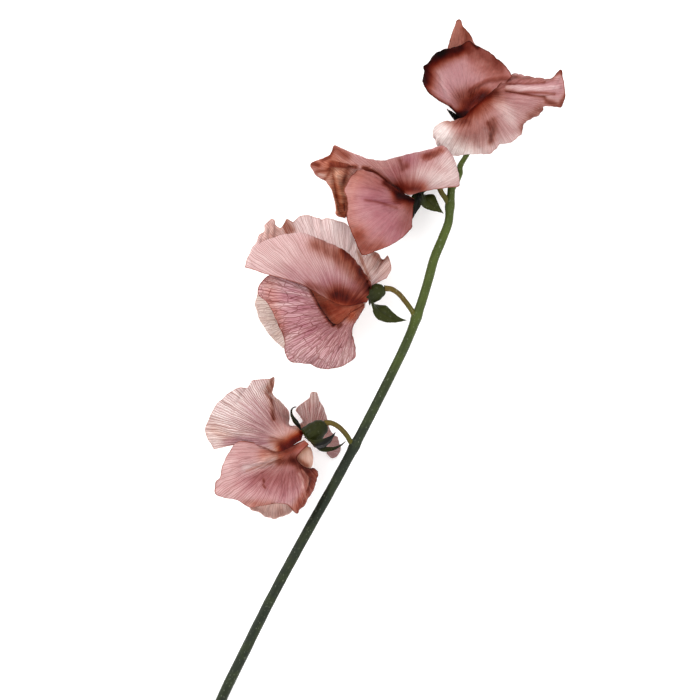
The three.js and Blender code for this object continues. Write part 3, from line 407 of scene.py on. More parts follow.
            [(-21.2, -2.2, 4.3), (-23.2, -4.7, 3.5), (-24.7, -7.8, 3), (-25.7, -11.4, 2.8),
             (-27.5, -14.8, 3.3), (-27.6, -17.9, 3.5), (-24.6, -19.4, 3.5), (-20.6, -19.9, 4),
             (-17, -22.2, 4.8), (-12.6, -21.8, 6.3), (-8, -21, 7), (-4.6, -21.5, 6.3), (-1.8, -24.2, 4.3),
             (0.2, -22.4, 3.3), (2.6, -18.8, 2), (4.7, -14.2, 0.8), (5.1, -11, 0)],
        ],
        "wing_far": [
            [(0.2, -1.8, -1.2), (1.8, -2.2, -2)],
            [(-4, -7, -3.7), (-1.5, -8, -5.7), (2.6, -6.5, -5.5)],
            [(-12, -11, -3), (-9, -15, -8.7), (-3, -15, -11.2), (3, -11, -8.7)],
            [(-20, -17, -1.7), (-15, -21, -6.2), (-9, -22.5, -10), (-3, -20.5, -12.5), (2.5, -15.5, -11.2)],
            [(-22, -18.4, -0.5), (-16.8, -22.6, -2.5), (-13.8, -24.3, -3.7), (-11.4, -25.6, -5),
             (-8.6, -26.2, -6.2), (-5.4, -25.2, -8.1), (-3, -23.8, -10), (-0.5, -20.5, -12.5),
             (3, -16, -11.2)],
        ],
    },
}


# --- Looks ------------------------------------------------

# How each petal looks: base strengths of its tints, how clearly its forked veins and its net of veins show,
# how much it pales towards the margin, how high its margin ruffles, the points that its veins fan out from,
# and its strokes and creases. Many dark strokes are painted shade: in throats, together with the petals' own
# dark red-brown there, along creases, where a ridge turns away and where one petal lies over another. Pale
# strokes along the ridges of creases are painted highlights. A keel has no ruffles and no creases, and may be
# deeper than the frame's own. A calyx has only strokes of near black, painted shade on sepals in shadow.
LOOKS = {
    # Near-black strokes on the calyces: painted shade where sepals and the gaps beside them lie in shadow.
    "calyx_1": [dark(1, 2, [(-4, 3), (-1, 0.4)]), dark(0.9, 3, [(-2, -1), (0, 0)])],
    "calyx_2": [dark(1, 1.4, [(2.4, 0.6), (1.4, -4), (0, -8)])],
    "calyx_3": [dark(0.5, 2, [(0.4, 0.6), (1, -1)])],
    "calyx_4": [
        dark(1, 1.4, [(-0.4, 3.6), (-2, 7), (-3, 10), (-1.6, 10.6)]),
        dark(0.9, 1.1, [(1, 5), (-0.6, 7)]),
        dark(1.2, 1.7, [(9.6, 3), (9.4, 0), (7.4, -2), (5.6, -2.8)]),
        dark(0.7, 1, [(13, -2), (10, -5)]),
    ],
    "banner_1": {
        "base": {"mauve": 0.3, "dark": 0.11}, "veins": 0.65, "net": 0.3, "paling": 0.2, "ruffle": 0.5,
        "fans": [(5, 7)],
        "marks": [
            pale(1, 3.6, [(-8.8, -4.4), (-6.8, -7), (-3.8, -9.4), (1.4, -10.8)]),
            dark(0.2, 4, [(0, -4), (6, -5)]),
            pale(0.4, 2.4, [(4, -11), (10, -9.6), (18, -6)]),
            pale(0.5, 2.4, [(12.5, 4), (15, 0)]),
            dark(0.35, 1.3, [(-7, -1.4), (-3, -1.6), (1, -1.2)]),
            dark(0.35, 1.7, [(0, -0.6), (4, 1.4), (8, 3.6)]),
            orange(0.25, 3, [(0, 0), (5, 2)]),
            # Dark along the two creases of the lip: painted shade.
            dark(0.75, 0.8, [(8, -1.6), (9.2, -3.8), (8.8, -7.6)]),
            dark(0.4, 1, [(9.6, -0.5), (10.2, -4)]),
            # The throat's dark red-brown: partly the petal's own colour, partly painted shade.
            dark(1.1, 1.4, [(1, 2.2), (4, 4.6), (7, 6.8), (10, 8.4)]),
            orange(1.6, 2, [(1, 2.2), (4, 4.6), (7, 6.8)]),
            dark(0.3, 3, [(11, 7), (13, 11)]),
            dark(0.5, 1.6, [(19.4, -3), (22, 0.6), (25, 3)]),
            mauve(0.1, 2.4, [(15, 5.6), (22, 4.6)]),
            dark(0.5, 0.9, [(16, 13), (21, 12.6), (28, 12.8)]),
            mauve(0.35, 3, [(15, 10), (30, 10)]),
            # Pale line along the tube's ridge: painted highlight; the dark lines beside it lie in its
            # creases: painted shade.
            pale(0.5, 0.8, [(14, 9.6), (20, 9.4), (26, 9.4), (30, 9.8)]),
            dark(0.75, 0.4, [(13.6, 9), (18, 7.9), (23, 6.9), (26, 6.5)]),
            dark(0.4, 0.35, [(15, 8.2), (22, 8.3), (29, 7.8)]),
            dark(0.35, 0.4, [(14, 11), (20, 11), (26, 11.4)]),
            dark(0.8, 0.8, [(28.4, 13.2), (31, 15.2), (32, 14)]),
            dark(0.7, 0.7, [(26.6, 5.6), (30.8, 4), (32.4, 7)]),
            pale(1, 3.4, [(-7.4, -3), (-5.8, -6)]),
        ],
        "folds": [
            fold(-0.8, 0.6, [(13.6, 9), (18, 7.9), (23, 6.9), (26, 6.5)]),
            fold(0.5, 0.7, [(14, 9.9), (21, 9.7), (30, 10)]),
            fold(-0.4, 0.5, [(14, 11), (20, 11), (26, 11.4)]),
            fold(0.4, 0.7, [(14, 12.2), (20, 12), (27, 12.4)]),
            fold(-0.6, 0.8, [(6.6, -3.6), (8.4, -5.6), (8.8, -8)]),
            fold(0.4, 0.9, [(4.4, -4), (5.6, -8.5)]),
            fold(-0.4, 0.7, [(9.6, -0.5), (10.2, -4), (12, -8)]),
            fold(0.5, 1, [(13, 4), (17, -4)]),
            fold(-0.5, 0.9, [(14.5, 6), (20, 2), (22, 1)]),
        ],
    },
    "wing_near_1": {
        "base": {"mauve": 0.54, "dark": 0.05}, "veins": 0.2, "net": 0, "paling": 0, "ruffle": 0.2,
        "fans": [(1, 2)],
        "marks": [
            orange(1.2, 1.9, [(-13.2, 11.5), (-12.4, 17), (-7.6, 21.6)]),
            dark(1.5, 1.8, [(-13.2, 11.5), (-12.7, 14), (-12.4, 17), (-10, 19.9), (-7.6, 21.6)]),
            orange(1.5, 2.6, [(-13, 11.5), (-12.4, 17), (-7.4, 21.2), (-1, 23)]),
            dark(0.6, 3.2, [(-12, 11), (-11.8, 17), (-7, 20.6)]),
            dark(1.6, 1.8, [(-7, 20.8), (-4.4, 21.5), (-1.6, 22.4)]),
            dark(0.7, 0.8, [(-11.6, 8.6), (-8, 5.8), (-4.6, 3.8)]),
            # Near-black edge by the calyx: painted shade in the gap between cup and lip.
            dark(2, 0.75, [(-4.2, 3.1), (-2.2, 1.4), (-0.4, 0)]),
            dark(1.2, 1, [(-1.4, 1.4), (1, 1.6)]),
            dark(0.75, 1.8, [(0.5, 22.6), (2, 24.4)]),
            dark(1.4, 0.7, [(3.3, 24.2), (4.6, 22.8)]),
            dark(0.5, 2.4, [(3.5, 21.2), (8, 20.6), (12, 17.6)]),
            dark(0.25, 4, [(9, 17), (12, 13)]),
            # The throat's dark red-brown: partly the petal's own colour, partly painted shade.
            dark(1.05, 1.9, [(0.6, 1.8), (1.8, 4.6), (4, 6), (7, 7)]),
            orange(1.7, 2.3, [(0.6, 2), (2.4, 4.6), (6, 7)]),
            dark(0.5, 2.4, [(-1, 7), (2, 8.4), (7, 8)]),
            orange(0.2, 4, [(5, 18), (11, 14)]),
            # Dark in the crease: painted shade; pale on the ridge beside it: painted highlight.
            dark(0.4, 0.6, [(14.5, 13.2), (8, 12.3), (4, 10.3), (2, 8.6)]),
            pale(0.2, 1, [(-7.6, 15), (-6.4, 10), (-4.6, 7)]),
        ],
        "folds": [
            fold(-0.8, 0.8, [(14.5, 13.2), (8, 12.3), (4, 10.3), (2, 8)]),
            fold(0.6, 1, [(0.4, 22.8), (0.6, 19)]),
            fold(0.35, 0.8, [(-7.6, 15), (-6.4, 10), (-4.6, 7)]),
        ],
    },
    "wing_far_1": {
        "base": {"orange": 0.35, "mauve": 0.2, "dark": 0.16}, "veins": 0.35, "net": 0.3, "paling": 0,
        "ruffle": 0.2, "fans": [(0, 0)],
        # Dark along the crease at the tip: painted shade.
        "marks": [dark(0.4, 1.1, [(0.6, 29.4), (1.6, 26.4), (0.6, 23.6)])],
        "folds": [fold(-0.5, 0.6, [(-0.2, 29.6), (0.2, 24)])],
    },
    # This keel sits deep in the cup: its dark is painted shade.
    "keel_1": {
        "base": {"orange": 0.2, "dark": 0.6}, "veins": 0.4, "net": 0, "paling": 0,
        "fans": [(0, 0)], "marks": [],
    },
    "banner_2": {
        "base": {"mauve": 0.28, "dark": 0.08}, "veins": 0.75, "net": 0.5, "paling": 0, "ruffle": 0.25,
        "fans": [(-1, -2)],
        "marks": [
            pale(0.58, 3.4, [(8, 5), (12.5, 6), (13.6, 8.6), (11, 10.4)], (0, 0.75)),
            pale(0.38, 2.6, [(2.6, 7), (7, 5.6)]),
            dark(0.12, 3.6, [(-12, 8.6), (-8, 8), (-5, 9)]),
            # Dark line where the banner's edge lies over the near wing: painted shadow.
            dark(1.3, 0.6, [(-15.4, 8.9), (-11, 6.8), (-6.2, 3.3), (-3, 1.2)]),
            mauve(0.5, 3, [(-6, 7), (-2, 10)]),
            dark(0.5, 0.9, [(-1.8, 9.2)]),
            # Dark in the crease: painted shade.
            dark(0.35, 0.8, [(-4, 11.2), (-3.2, 8)]),
            dark(0.12, 1, [(3.6, 11.6), (6, 12.4), (9, 14)]),
            orange(0.35, 1.2, [(3.4, 12), (6, 12.8), (9, 14.4)]),
            mauve(0.4, 2, [(-2, 11.4), (4, 12.6), (8, 13.8)]),
            # By the claw: partly the petal's own dark red-brown, partly painted shade.
            dark(0.45, 1.1, [(-4.4, 3), (-1.6, 2.2), (2, 2)]),
            orange(0.9, 1.6, [(-4, 2.6), (-1, 2.2), (3, 2.2)]),
            mauve(0.6, 2, [(-4, 3), (2, 2.6)]),
            dark(0.3, 2.2, [(-4, 4), (0, 3.6)]),
            pale(0.55, 4, [(-24, 6), (-22.6, -4)]),
            orange(0.8, 5, [(-26, 10), (-24, 6), (-23, -4)]),
            orange(0.4, 2.6, [(-22.6, 0), (-22, -6)]),
            # The crumpled tip, over its own reddish brown: dark lines in its creases are painted shade, pale
            # lines on its ridges are painted highlights.
            dark(0.8, 0.6, [(-26, 10), (-22, 9.7), (-18, 9.2)]),
            dark(0.8, 0.7, [(-32, 10.2), (-30, 9.8)]),
            dark(0.7, 0.6, [(-28.5, 11), (-26.4, 12), (-25.4, 14.6)]),
            dark(0.5, 0.5, [(-30.5, 7.6), (-27.4, 8), (-25.8, 9)]),
            dark(0.5, 0.5, [(-28, 5.4), (-26.4, 7.4)]),
            pale(0.4, 0.5, [(-29.6, 7), (-27.6, 6.4)]),
            dark(0.4, 1.1, [(-24.4, 15), (-20.6, 12.4)]),
            dark(0.4, 0.8, [(-20.6, 8.4), (-21.6, 4)]),
            pale(0.3, 0.8, [(-24, 8), (-22.6, 3)]),
            dark(0.3, 0.45, [(-25.8, 8.6), (-24.2, 2), (-22.8, -5)]),
            dark(0.25, 0.6, [(-22, -6.4), (-21.4, -1)]),
            dark(0.3, 0.6, [(3.4, 12.3), (9.4, 14.2)]),
            dark(0.24, 0.5, [(4.4, 11.9), (8.2, 13)]),
            dark(0.26, 0.36, [(5.3, 11.2), (7.2, 12.2)]),
        ],
        "folds": [
            fold(0.8, 1.2, [(-25.8, 9.6), (-18.5, 9)]),
            fold(-1.2, 0.8, [(-25.8, 8.4), (-18.5, 8.1)]),
            fold(-1, 0.8, [(-25.6, 8), (-24, 2), (-22.6, -5)]),
            fold(0.7, 0.7, [(-24.4, 6), (-22.6, -2)]),
            fold(-0.7, 0.9, [(-20.6, 8), (-21.5, 3)]),
            fold(-0.6, 0.7, [(-4, 11.2), (-3.2, 8)]),
            fold(0.5, 0.9, [(-1.6, 10), (-1.4, 7)]),
            fold(-0.5, 0.6, [(2.8, 12), (4.6, 10.6), (9.3, 13.8)]),
        ],
    },
    "wing_near_2": {
        "base": {"mauve": 0.58, "dark": 0.1}, "veins": 0.3, "net": 0, "paling": 0, "ruffle": 0.25,
        "fans": [(0, -1)],
        "marks": [
            mauve(0.5, 5, [(-12, -1), (-8, -8), (-5, -12)]),
            dark(0.14, 3, [(-17, 7.5), (-14, 5), (-11, 4)]),
            orange(0.15, 3, [(-17, 7.5), (-12, 5)]),
            pale(0.15, 2.6, [(-18, 7.5), (-21, 0), (-21, -7), (-19.5, -12)]),
            orange(0.3, 2.8, [(-17.5, 7), (-20.5, 0), (-20.5, -7), (-18.5, -12)]),
            dark(0.22, 3, [(-17.5, -13), (-15.5, -17.5), (-11, -17)]),
            orange(0.4, 3, [(-17, -13), (-15, -17.5), (-11, -17)]),
            # Dark along the banner's edge over this wing: painted shadow cast by the banner, with the
            # throat's own dark red-brown at the claw.
            dark(1.3, 1.1, [(-8.4, 4), (-5, 0.9), (-2, -0.5), (0.4, -1.2)]),
            orange(1.2, 1.7, [(-5, 0.6), (0, -1.4)]),
            dark(0.55, 1.8, [(-4.4, -1.2), (-1, -2.6)]),
            dark(1.2, 1.5, [(-4, 0), (0.6, -1)]),
            orange(0.3, 1.6, [(-3, -1.4), (-0.6, -4)]),
            dark(0.25, 3, [(-1, -6), (-1.4, -10)]),
            mauve(0.45, 0.8, [(-16, -1), (-11, -1.8), (-4, -2.6)]),
            # Dark in the crease: painted shade.
            dark(0.3, 0.5, [(-15, -1.6), (-10, -2.4), (-5, -4)]),
        ],
        "folds": [
            fold(-0.5, 0.7, [(-18, -1), (-11, -1.6), (-4, -2.4)]),
            fold(0.4, 0.9, [(-17, 1.4), (-10, 0.6), (-6, 0)]),
            fold(-0.35, 0.7, [(-15, -3.6), (-9, -4.2), (-4, -4)]),
            fold(0.4, 1.4, [(-14, -12), (-8, -6), (-3, -3)]),
            fold(-0.35, 1, [(-16, -8), (-10, -6), (-5, -4.4)]),
        ],
    },
    "wing_far_2": {
        "base": {"dark": 0.4, "orange": 0.6}, "veins": 0.5, "net": 0.3, "paling": 0, "ruffle": 0.3,
        "fans": [(0, -1)], "marks": [], "folds": [],
    },
    # This keel is hidden inside the flower: its dark is painted shade.
    "keel_2": {
        "base": {"orange": 0.2, "dark": 0.8}, "veins": 0.4, "net": 0, "paling": 0,
        "fans": [(0, 0)], "marks": [],
    },
    "banner_3": {
        "base": {"pale": 0.1, "mauve": 0.2, "dark": 0.04}, "veins": 0.85, "net": 0.2, "paling": 0.52,
        "ruffle": 0.5, "fans": [(-9, -6)],
        "marks": [
            pale(0.2, 6, [(-33, 11), (-28, 15)], (0, 0.62)),
            pale(0.4, 7, [(-20, 26), (-8, 20), (0, 10)], (0.66, 1)),
            mauve(0.35, 4, [(-23, 6), (-16, 5), (-11, 6)], (0, 0.5)),
            # The dark band where the banner's ridge turns away from view: painted shade, over the petal's own
            # orange-brown.
            dark(0.54, 2.1,
                 [(-16.6, 17), (-13, 15), (-9.5, 12.6), (-6.5, 9.8), (-3.5, 6.8), (-0.8, 3.4)], (0, 0.64)),
            dark(1.05, 1.3, [(-8, 15), (-5.3, 12), (-2.8, 8.8), (-0.6, 5.2), (0.6, 2.4)], (0, 0.64)),
            orange(0.7, 1.8, [(-8, 14), (-2.8, 8.4), (0, 3)], (0, 0.64)),
            # The throat's dark red-brown: partly the petal's own colour, partly painted shade.
            dark(0.9, 2, [(-10.4, 0.4), (-6, -0.9), (-3, -1.4)]),
            orange(1.7, 2.4, [(-10, 0.4), (-6, -0.9), (-2, -1.4)]),
            dark(0.5, 2.4, [(-10.5, 2.6), (-7, 1.6)]),
            mauve(0.4, 3, [(-12, 4), (-6, 3)]),
            dark(0.35, 1.6, [(-19, 3.8), (-15, 2.6), (-12, 0.8)]),
            dark(0.35, 1.7, [(-3, 1.6), (-0.6, 0.8)]),
            mauve(0.4, 2.4, [(-4, 3), (-1, 2)]),
            orange(0.2, 4, [(-31, 21)], (0.7, 1)),
            # Dark in the valley between the rear lobes: painted shade.
            dark(0.5, 0.5, [(-27.2, 24), (-26, 20.6)], (0.7, 1)),
            dark(0.5, 1.1, [(-26.4, 24.4), (-24.6, 21.6)], (0.7, 1)),
            pale(0.3, 3.5, [(-6, 18), (-4, 14), (-1, 9)], (0.64, 1)),
            dark(0.16, 4, [(2, 11), (6, 10)], (0.64, 1)),
            dark(0.35, 0.5, [(-3.4, 15), (-1.6, 11), (0.4, 6)], (0.64, 1)),
            dark(0.35, 1, [(2.4, 13.6), (4.4, 12.4), (6, 13.2)], (0.64, 1)),
        ],
        "folds": [
            fold(-0.7, 0.8, [(-28.4, 22), (-27, 19)], (0.7, 1)),
            fold(0.6, 1, [(-30.6, 23), (-29, 19)], (0.7, 1)),
            fold(-0.5, 0.8, [(-33, 19), (-30.6, 18)], (0.7, 1)),
            fold(-0.5, 0.8, [(-16, 25), (-15, 21)], (0.66, 1)),
            fold(-0.5, 0.7, [(0.4, 12.4), (1, 9)], (0.64, 1)),
            fold(0.5, 0.8, [(3.4, 12), (2.4, 8)], (0.64, 1)),
        ],
    },
    "wing_near_3": {
        "base": {"mauve": 0.45, "dark": 0.04}, "veins": 1.5, "net": 1.7, "paling": 0.35, "ruffle": 0.35,
        "fans": [(-3, -3.5)],
        "marks": [
            mauve(0.5, 6, [(-26, 2), (-22, -5), (-17, -9)]),
            pale(0.12, 5, [(-30, 4), (-26, 0)]),
            dark(0.15, 1.6, [(-31, -3), (-29.4, -8), (-27.2, -13)]),
            orange(0.25, 3, [(-31, 4), (-31, -2), (-29, -9)]),
            pale(0.3, 2, [(-3, -4), (-6, -6)]),
            orange(0.9, 1.5, [(-1.8, -2.6), (-4, -4.2), (-5.4, -5.8)]),
            orange(0.5, 2, [(-12, -6), (-8, -5.8), (-5, -6)]),
            # Dark line where the wing's edge meets the keel: painted shade.
            dark(1.1, 0.55, [(-18.6, 3), (-14.6, -4.4), (-11.2, -8.6)]),
            dark(1, 0.5, [(-11, -8.8), (-10, -8), (-9.6, -9.3), (-8.7, -8.6)]),
            dark(0.15, 0.6, [(-12, -4.9), (-8, -4.9), (-3.4, -3.4)]),
        ],
        "folds": [
            fold(0.4, 0.7, [(-10, -6.4), (-5, -4.6)]),
            fold(-0.3, 0.6, [(-9.4, -11), (-9.6, -19)]),
            fold(0.35, 0.7, [(-7, -10), (-6.4, -19)]),
        ],
    },
    "wing_far_3": {
        "base": {"pale": 1, "orange": 0.1}, "veins": 0.8, "net": 0.9, "paling": 0.2,
        "ruffle": 0.4, "fans": [(-10, -2)], "marks": [], "folds": [],
    },
    # This keel's orange, mauve and dark strokes stand for the shadowed wedge between banner and wing: painted
    # shade.
    "keel_3": {
        "base": {"mauve": 0.4, "orange": 1.1}, "deeper": 1.1, "veins": 0.5, "net": 0, "paling": 0,
        "fans": [(0, 0)],
        "marks": [
            dark(0.08, 1.2, [(-18.6, 3), (-15.6, -2), (-12.6, -5)]),
            dark(0.5, 2.4, [(-14, -3), (-10, -4)]),
            dark(0.15, 0.7, [(-17, 3), (-12.6, 0.4), (-9.6, -2.4), (-4, -2.2)]),
        ],
    },
    "banner_4": {
        "base": {"pale": 0.45, "mauve": 0.1, "dark": 0}, "veins": 1.9, "net": 0.6, "paling": 0.3,
        "ruffle": 0.45, "fans": [(-5, -1), (3, -3, -1)],
        "marks": [
            pale(0.32, 6, [(-22, 11), (-26, 7), (-27, 2)]),
            orange(0.12, 3, [(-28, 2), (-24, 0)]),
            mauve(0.3, 5, [(-13, 8), (-12, 2)], (0, 0.75)),
            mauve(0.5, 1.4, [(-24, -1.8), (-19, -0.8), (-12, -1.6)]),
            orange(0.2, 4, [(-6.5, 11), (-5.4, 6), (-4.5, 3)]),
            mauve(0.3, 3, [(-6, 7), (-4.5, 3)]),
            dark(0.05, 1.7, [(-8.6, 6), (-8, 1.6), (-7, -1.4)]),
            # The throat's dark red-brown: partly the petal's own colour, partly painted shade.
            dark(0.5, 1.3, [(-9.4, -1), (-6.6, -1.6)]),
            dark(0.8, 1.3, [(-5.4, -3.6), (-2.6, -1.8), (0.4, 0.6)]),
            orange(3, 2, [(-5.4, -3.6), (-2.6, -1.8), (0.6, 0.6)]),
            dark(0.6, 2, [(-6.4, -3), (-3, -1)]),
            # Dark in the crease: painted shade.
            dark(0.75, 0.5, [(-11.8, 14.4), (-10.2, 11.7), (-9.6, 8.7), (-8.9, 5.8)]),
            dark(0.55, 1, [(-10.4, 15), (-9.4, 18)]),
            orange(0.2, 1.6, [(-10, 15), (-9.2, 18)]),
            pale(0.3, 5, [(3, 12), (4, 7), (9, -1)], (0.5, 1)),
            orange(0.15, 4, [(3, 12), (4, 7), (9, -1)], (0.5, 1)),
            mauve(0.3, 5, [(4, 8), (10, -3)], (0.5, 1)),
        ],
        "folds": [
            fold(-0.7, 0.8, [(-11.8, 14.4), (-10.2, 11.7), (-9.6, 8.7)]),
            fold(0.4, 1, [(-16, 15), (-12, 5)]),
            fold(-0.4, 1, [(-26, 3.6), (-17, 0.8), (-11, -0.4)]),
            fold(0.5, 0.8, [(-29, -2), (-20, -0.6)]),
        ],
    },
    "wing_near_4": {
        "base": {"mauve": 0.3, "dark": 0.08}, "veins": 0.85, "net": 0.2, "paling": 0.15, "ruffle": 0.35,
        "fans": [(-3, -4.5)],
        "marks": [
            mauve(0.6, 4.5, [(-15, -13), (-10, -14.5), (-5, -14), (-4, -17)]),
            dark(0.2, 4, [(-13, -12), (-5, -13)]),
            # Pale along the ridge by the crease: painted highlight; dark in the crease: painted shade.
            pale(0.62, 2.1, [(-17.5, -9.6), (-12.4, -8.4), (-9, -7.4)]),
            dark(0.22, 0.45, [(-17.5, -10.7), (-13.8, -9.3), (-10.1, -8.3), (-7, -7.2)]),
            orange(0.8, 1.2, [(-6.6, -6.2), (-3.4, -4.6), (2, -1.8)]),
            mauve(0.5, 1.6, [(-5, -5.4), (0.4, -2.8)]),
            dark(0.5, 1, [(-9, -4.6), (-5, -3.6), (-2, -2.2)]),
            orange(0.4, 2, [(-12, -5.4), (-6, -4)]),
            # Dark along the keel's edges: painted shade.
            dark(0.7, 1.3, [(-7, -8), (-4, -7.6), (-1.6, -6.6)]),
            dark(1, 1.2, [(-3, -7.4), (-0.4, -9), (2, -10.6)]),
            # Dark where the margin curls away from view: painted shade.
            dark(0.5, 2.2, [(0.4, -10), (2.2, -13)]),
            dark(0.55, 1.6, [(3.8, -9.6), (4.2, -12.5), (2.8, -16.5), (0.6, -20), (-1.6, -23)]),
            # Pale lines on the curled margin's ridges: painted highlights; the dark line in its crease:
            # painted shade.
            pale(0.35, 0.35, [(0, -10.6), (1.8, -12.6), (1.6, -15.6)]),
            pale(0.35, 0.35, [(-1, -11.6), (0.4, -13.4), (0.2, -16)]),
            dark(0.5, 0.35, [(0.6, -10.4), (2.8, -12.8), (2.2, -16.6)]),
            orange(0.4, 1.6, [(4, -12), (1.4, -18), (-1.6, -22.6)]),
            dark(0.55, 0.35, [(-12.2, -13.4), (-12, -14.2)]),
            dark(0.55, 0.35, [(-12.2, -15.2), (-11.8, -16)]),
            orange(0.2, 1.4, [(-16, -21.6), (-10, -21.4)]),
            dark(0.2, 1.2, [(-18, -20.6), (-10, -21.4)]),
            pale(0.15, 3, [(-25, -17), (-23, -8)]),
        ],
        "folds": [
            fold(-0.2, 0.8, [(-18, -10.9), (-13.8, -9.3), (-10.1, -8.3), (-6, -6.8)]),
            fold(0.4, 1, [(-20, -8.8), (-12, -7)]),
            fold(-0.5, 0.9, [(-26, -13), (-20, -12.6), (-14, -11.6)]),
            fold(-0.3, 0.6, [(-6, -10), (-6.2, -15), (-5.4, -19)]),
            fold(0.35, 0.7, [(0.2, -10.6), (1.6, -14), (0.4, -17)]),
            fold(-0.3, 0.5, [(1.4, -10.8), (2.8, -13.6), (1.6, -17)]),
            fold(0.35, 0.8, [(-13, -12), (-17, -17)]),
        ],
    },
    "wing_far_4": {
        "base": {"pale": 1, "orange": 0.2, "mauve": 0.2}, "veins": 0.7, "net": 0.7, "paling": 0.3,
        "ruffle": 0.4, "fans": [(-8, -10)], "marks": [], "folds": [],
    },
    "keel_4": {
        "base": {"pale": 0.7, "orange": 0.12, "dark": 0.25}, "veins": 0.25, "net": 0, "paling": 0,
        "fans": [(0, 0)],
        "marks": [
            orange(0.5, 1.1, [(-2.4, -5.6), (2, -2.6)]),
            # Dark along the keel's edge: painted shade.
            dark(0.5, 0.8, [(-2, -6.6), (1.4, -9.2)]),
        ],
    },
}


# --- Shapes -----------------------------------------------


def smooth_step(value):
    """0 up to 0, 1 from 1 on, and 3x² - 2x³ between."""
    x = np.clip(value, 0, 1)
    return x * x * (3 - 2 * x)


def unit(vectors):
    """Vectors of length one, the same way."""
    return vectors / np.maximum(np.linalg.norm(vectors, axis=-1, keepdims=True), 1e-9)


def smooth_curve(knots, shares):
    """Points on a uniform Catmull-Rom curve through the knots, at shares from 0 to 1 of its knot spans. Past
    each end the curve aims at the mirror image of the knot before. A knot may be a whole row of points."""
    knots = np.asarray(knots, float)
    padded = np.concatenate([[2 * knots[0] - knots[1]], knots, [2 * knots[-1] - knots[-2]]])
    place = np.clip(shares, 0, 1) * (len(knots) - 1)
    span = np.minimum(place.astype(int), len(knots) - 2)
    t = (place - span).reshape((-1,) + (1,) * (knots.ndim - 1))
    before, start, end, after = padded[span], padded[span + 1], padded[span + 2], padded[span + 3]
    return 0.5 * (
        2 * start + (end - before) * t
        + (2 * before - 5 * start + 4 * end - after) * t**2
        + (3 * start - before - 3 * end + after) * t**3
    )


def rail_surface(rails, rows, columns):
    """A grid over a net of rails: a smooth curve along each rail first, then smooth curves across them."""
    ribs = np.stack([smooth_curve(rail, np.linspace(0, 1, columns)) for rail in rails])
    return smooth_curve(ribs, np.linspace(0, 1, rows))


def ripples(x, y, seed, waves=7):
    """A smooth random field of about -1 to 1: a sum of plane waves about one unit long, with random
    directions, lengths and phases."""
    chance = np.random.default_rng(seed)
    turn = chance.uniform(0, TAU, waves)
    pitch = chance.uniform(0.7, 1.5, waves)
    phase = chance.uniform(0, TAU, waves)
    along = x[..., None] * np.cos(turn) + y[..., None] * np.sin(turn)
    return np.sin(TAU * pitch * along + phase).sum(-1) / np.sqrt(waves)


def lengths(points, axis):
    """The length of each line of a grid, along one axis, from its start to each of its points."""
    steps = np.linalg.norm(np.diff(points, axis=axis), axis=-1)
    return np.concatenate([np.zeros_like(np.take(steps, [0], axis)), np.cumsum(steps, axis)], axis)


def normals_of(points, wraps=False):
    """The unit normal at each point of a grid: the cross product of its slopes along and across."""
    across = np.roll(points, -1, 1) - np.roll(points, 1, 1) if wraps else np.gradient(points, axis=1)
    return unit(np.cross(np.gradient(points, axis=0), across))


def measure(points, fans):
    """What is measured on a petal's grid: how far each point is from the point that its veins fan out from,
    the share of a full turn round it, the distance to the free edge, the length across from the first edge,
    and the unit normal. Seen from above, fans lists such points as (x, y) for the whole petal, or as
    (x, y, least) for its points with x over least. The turn starts behind the petal, so that the jump from
    one to nought lies off it."""
    reach = lengths(points, 0)
    across = lengths(points, 1)
    rim = np.minimum(reach[-1:] - reach, np.minimum(across, across[:, -1:] - across))
    out = 0 * reach
    turn = 0 * reach
    for x, y, *least in fans:
        mine = points[..., 0] > max(least, default=-np.inf)
        offset = points[..., :2] - (x, y)
        ahead = offset[mine].sum(0)
        angle = np.arctan2(offset[..., 1], offset[..., 0]) - np.arctan2(ahead[1], ahead[0])
        turn = np.where(mine, (angle / TAU + 0.5) % 1, turn)
        out = np.where(mine, np.linalg.norm(offset, axis=-1), out)
    return SimpleNamespace(out=out, turn=turn, rim=rim, across=across, normal=normals_of(points))


def distance_to_line(points, line):
    """The distance of each point to a broken line, both seen from above."""
    line = np.asarray(line, float)
    if len(line) == 1:
        return np.linalg.norm(points[..., :2] - line[0], axis=-1)
    step = np.diff(line, axis=0)
    offset = points[..., None, :2] - line[:-1]
    part = np.clip((offset * step).sum(-1) / (step**2).sum(-1), 0, 1)
    return np.linalg.norm(offset - part[..., None] * step, axis=-1).min(-1)


def share_out(points):
    """The share of the way from the first row of a grid to the last, at each of its points."""
    return np.linspace(0, 1, len(points))[:, None] + np.zeros(points.shape[:2])


def cover(points, stroke):
    """How strongly a stroke or a crease acts at each point of a grid: 1 on its line, falling off with the
    square of the distance as a bell of its width, and only between its rows, with soft ends."""
    bell = np.exp(-(distance_to_line(points, stroke["points"]) / stroke["width"]) ** 2)
    share = share_out(points)
    first, last = stroke["rows"]
    return bell * smooth_step((share - first) / ROWS_FADE + 1) * smooth_step((last - share) / ROWS_FADE + 1)


def rest_on_table(points, height):
    """Presses what would go under the table softly flat: each height goes to half the sum of itself and the
    root of the sum of its square and the softness's. height is the flower's own above the table."""
    lift = points[..., 2] + height - TABLE_CLEARANCE
    pressed = points.copy()
    pressed[..., 2] = (lift + np.hypot(lift, TABLE_SOFTNESS)) / 2 + TABLE_CLEARANCE - height
    return pressed


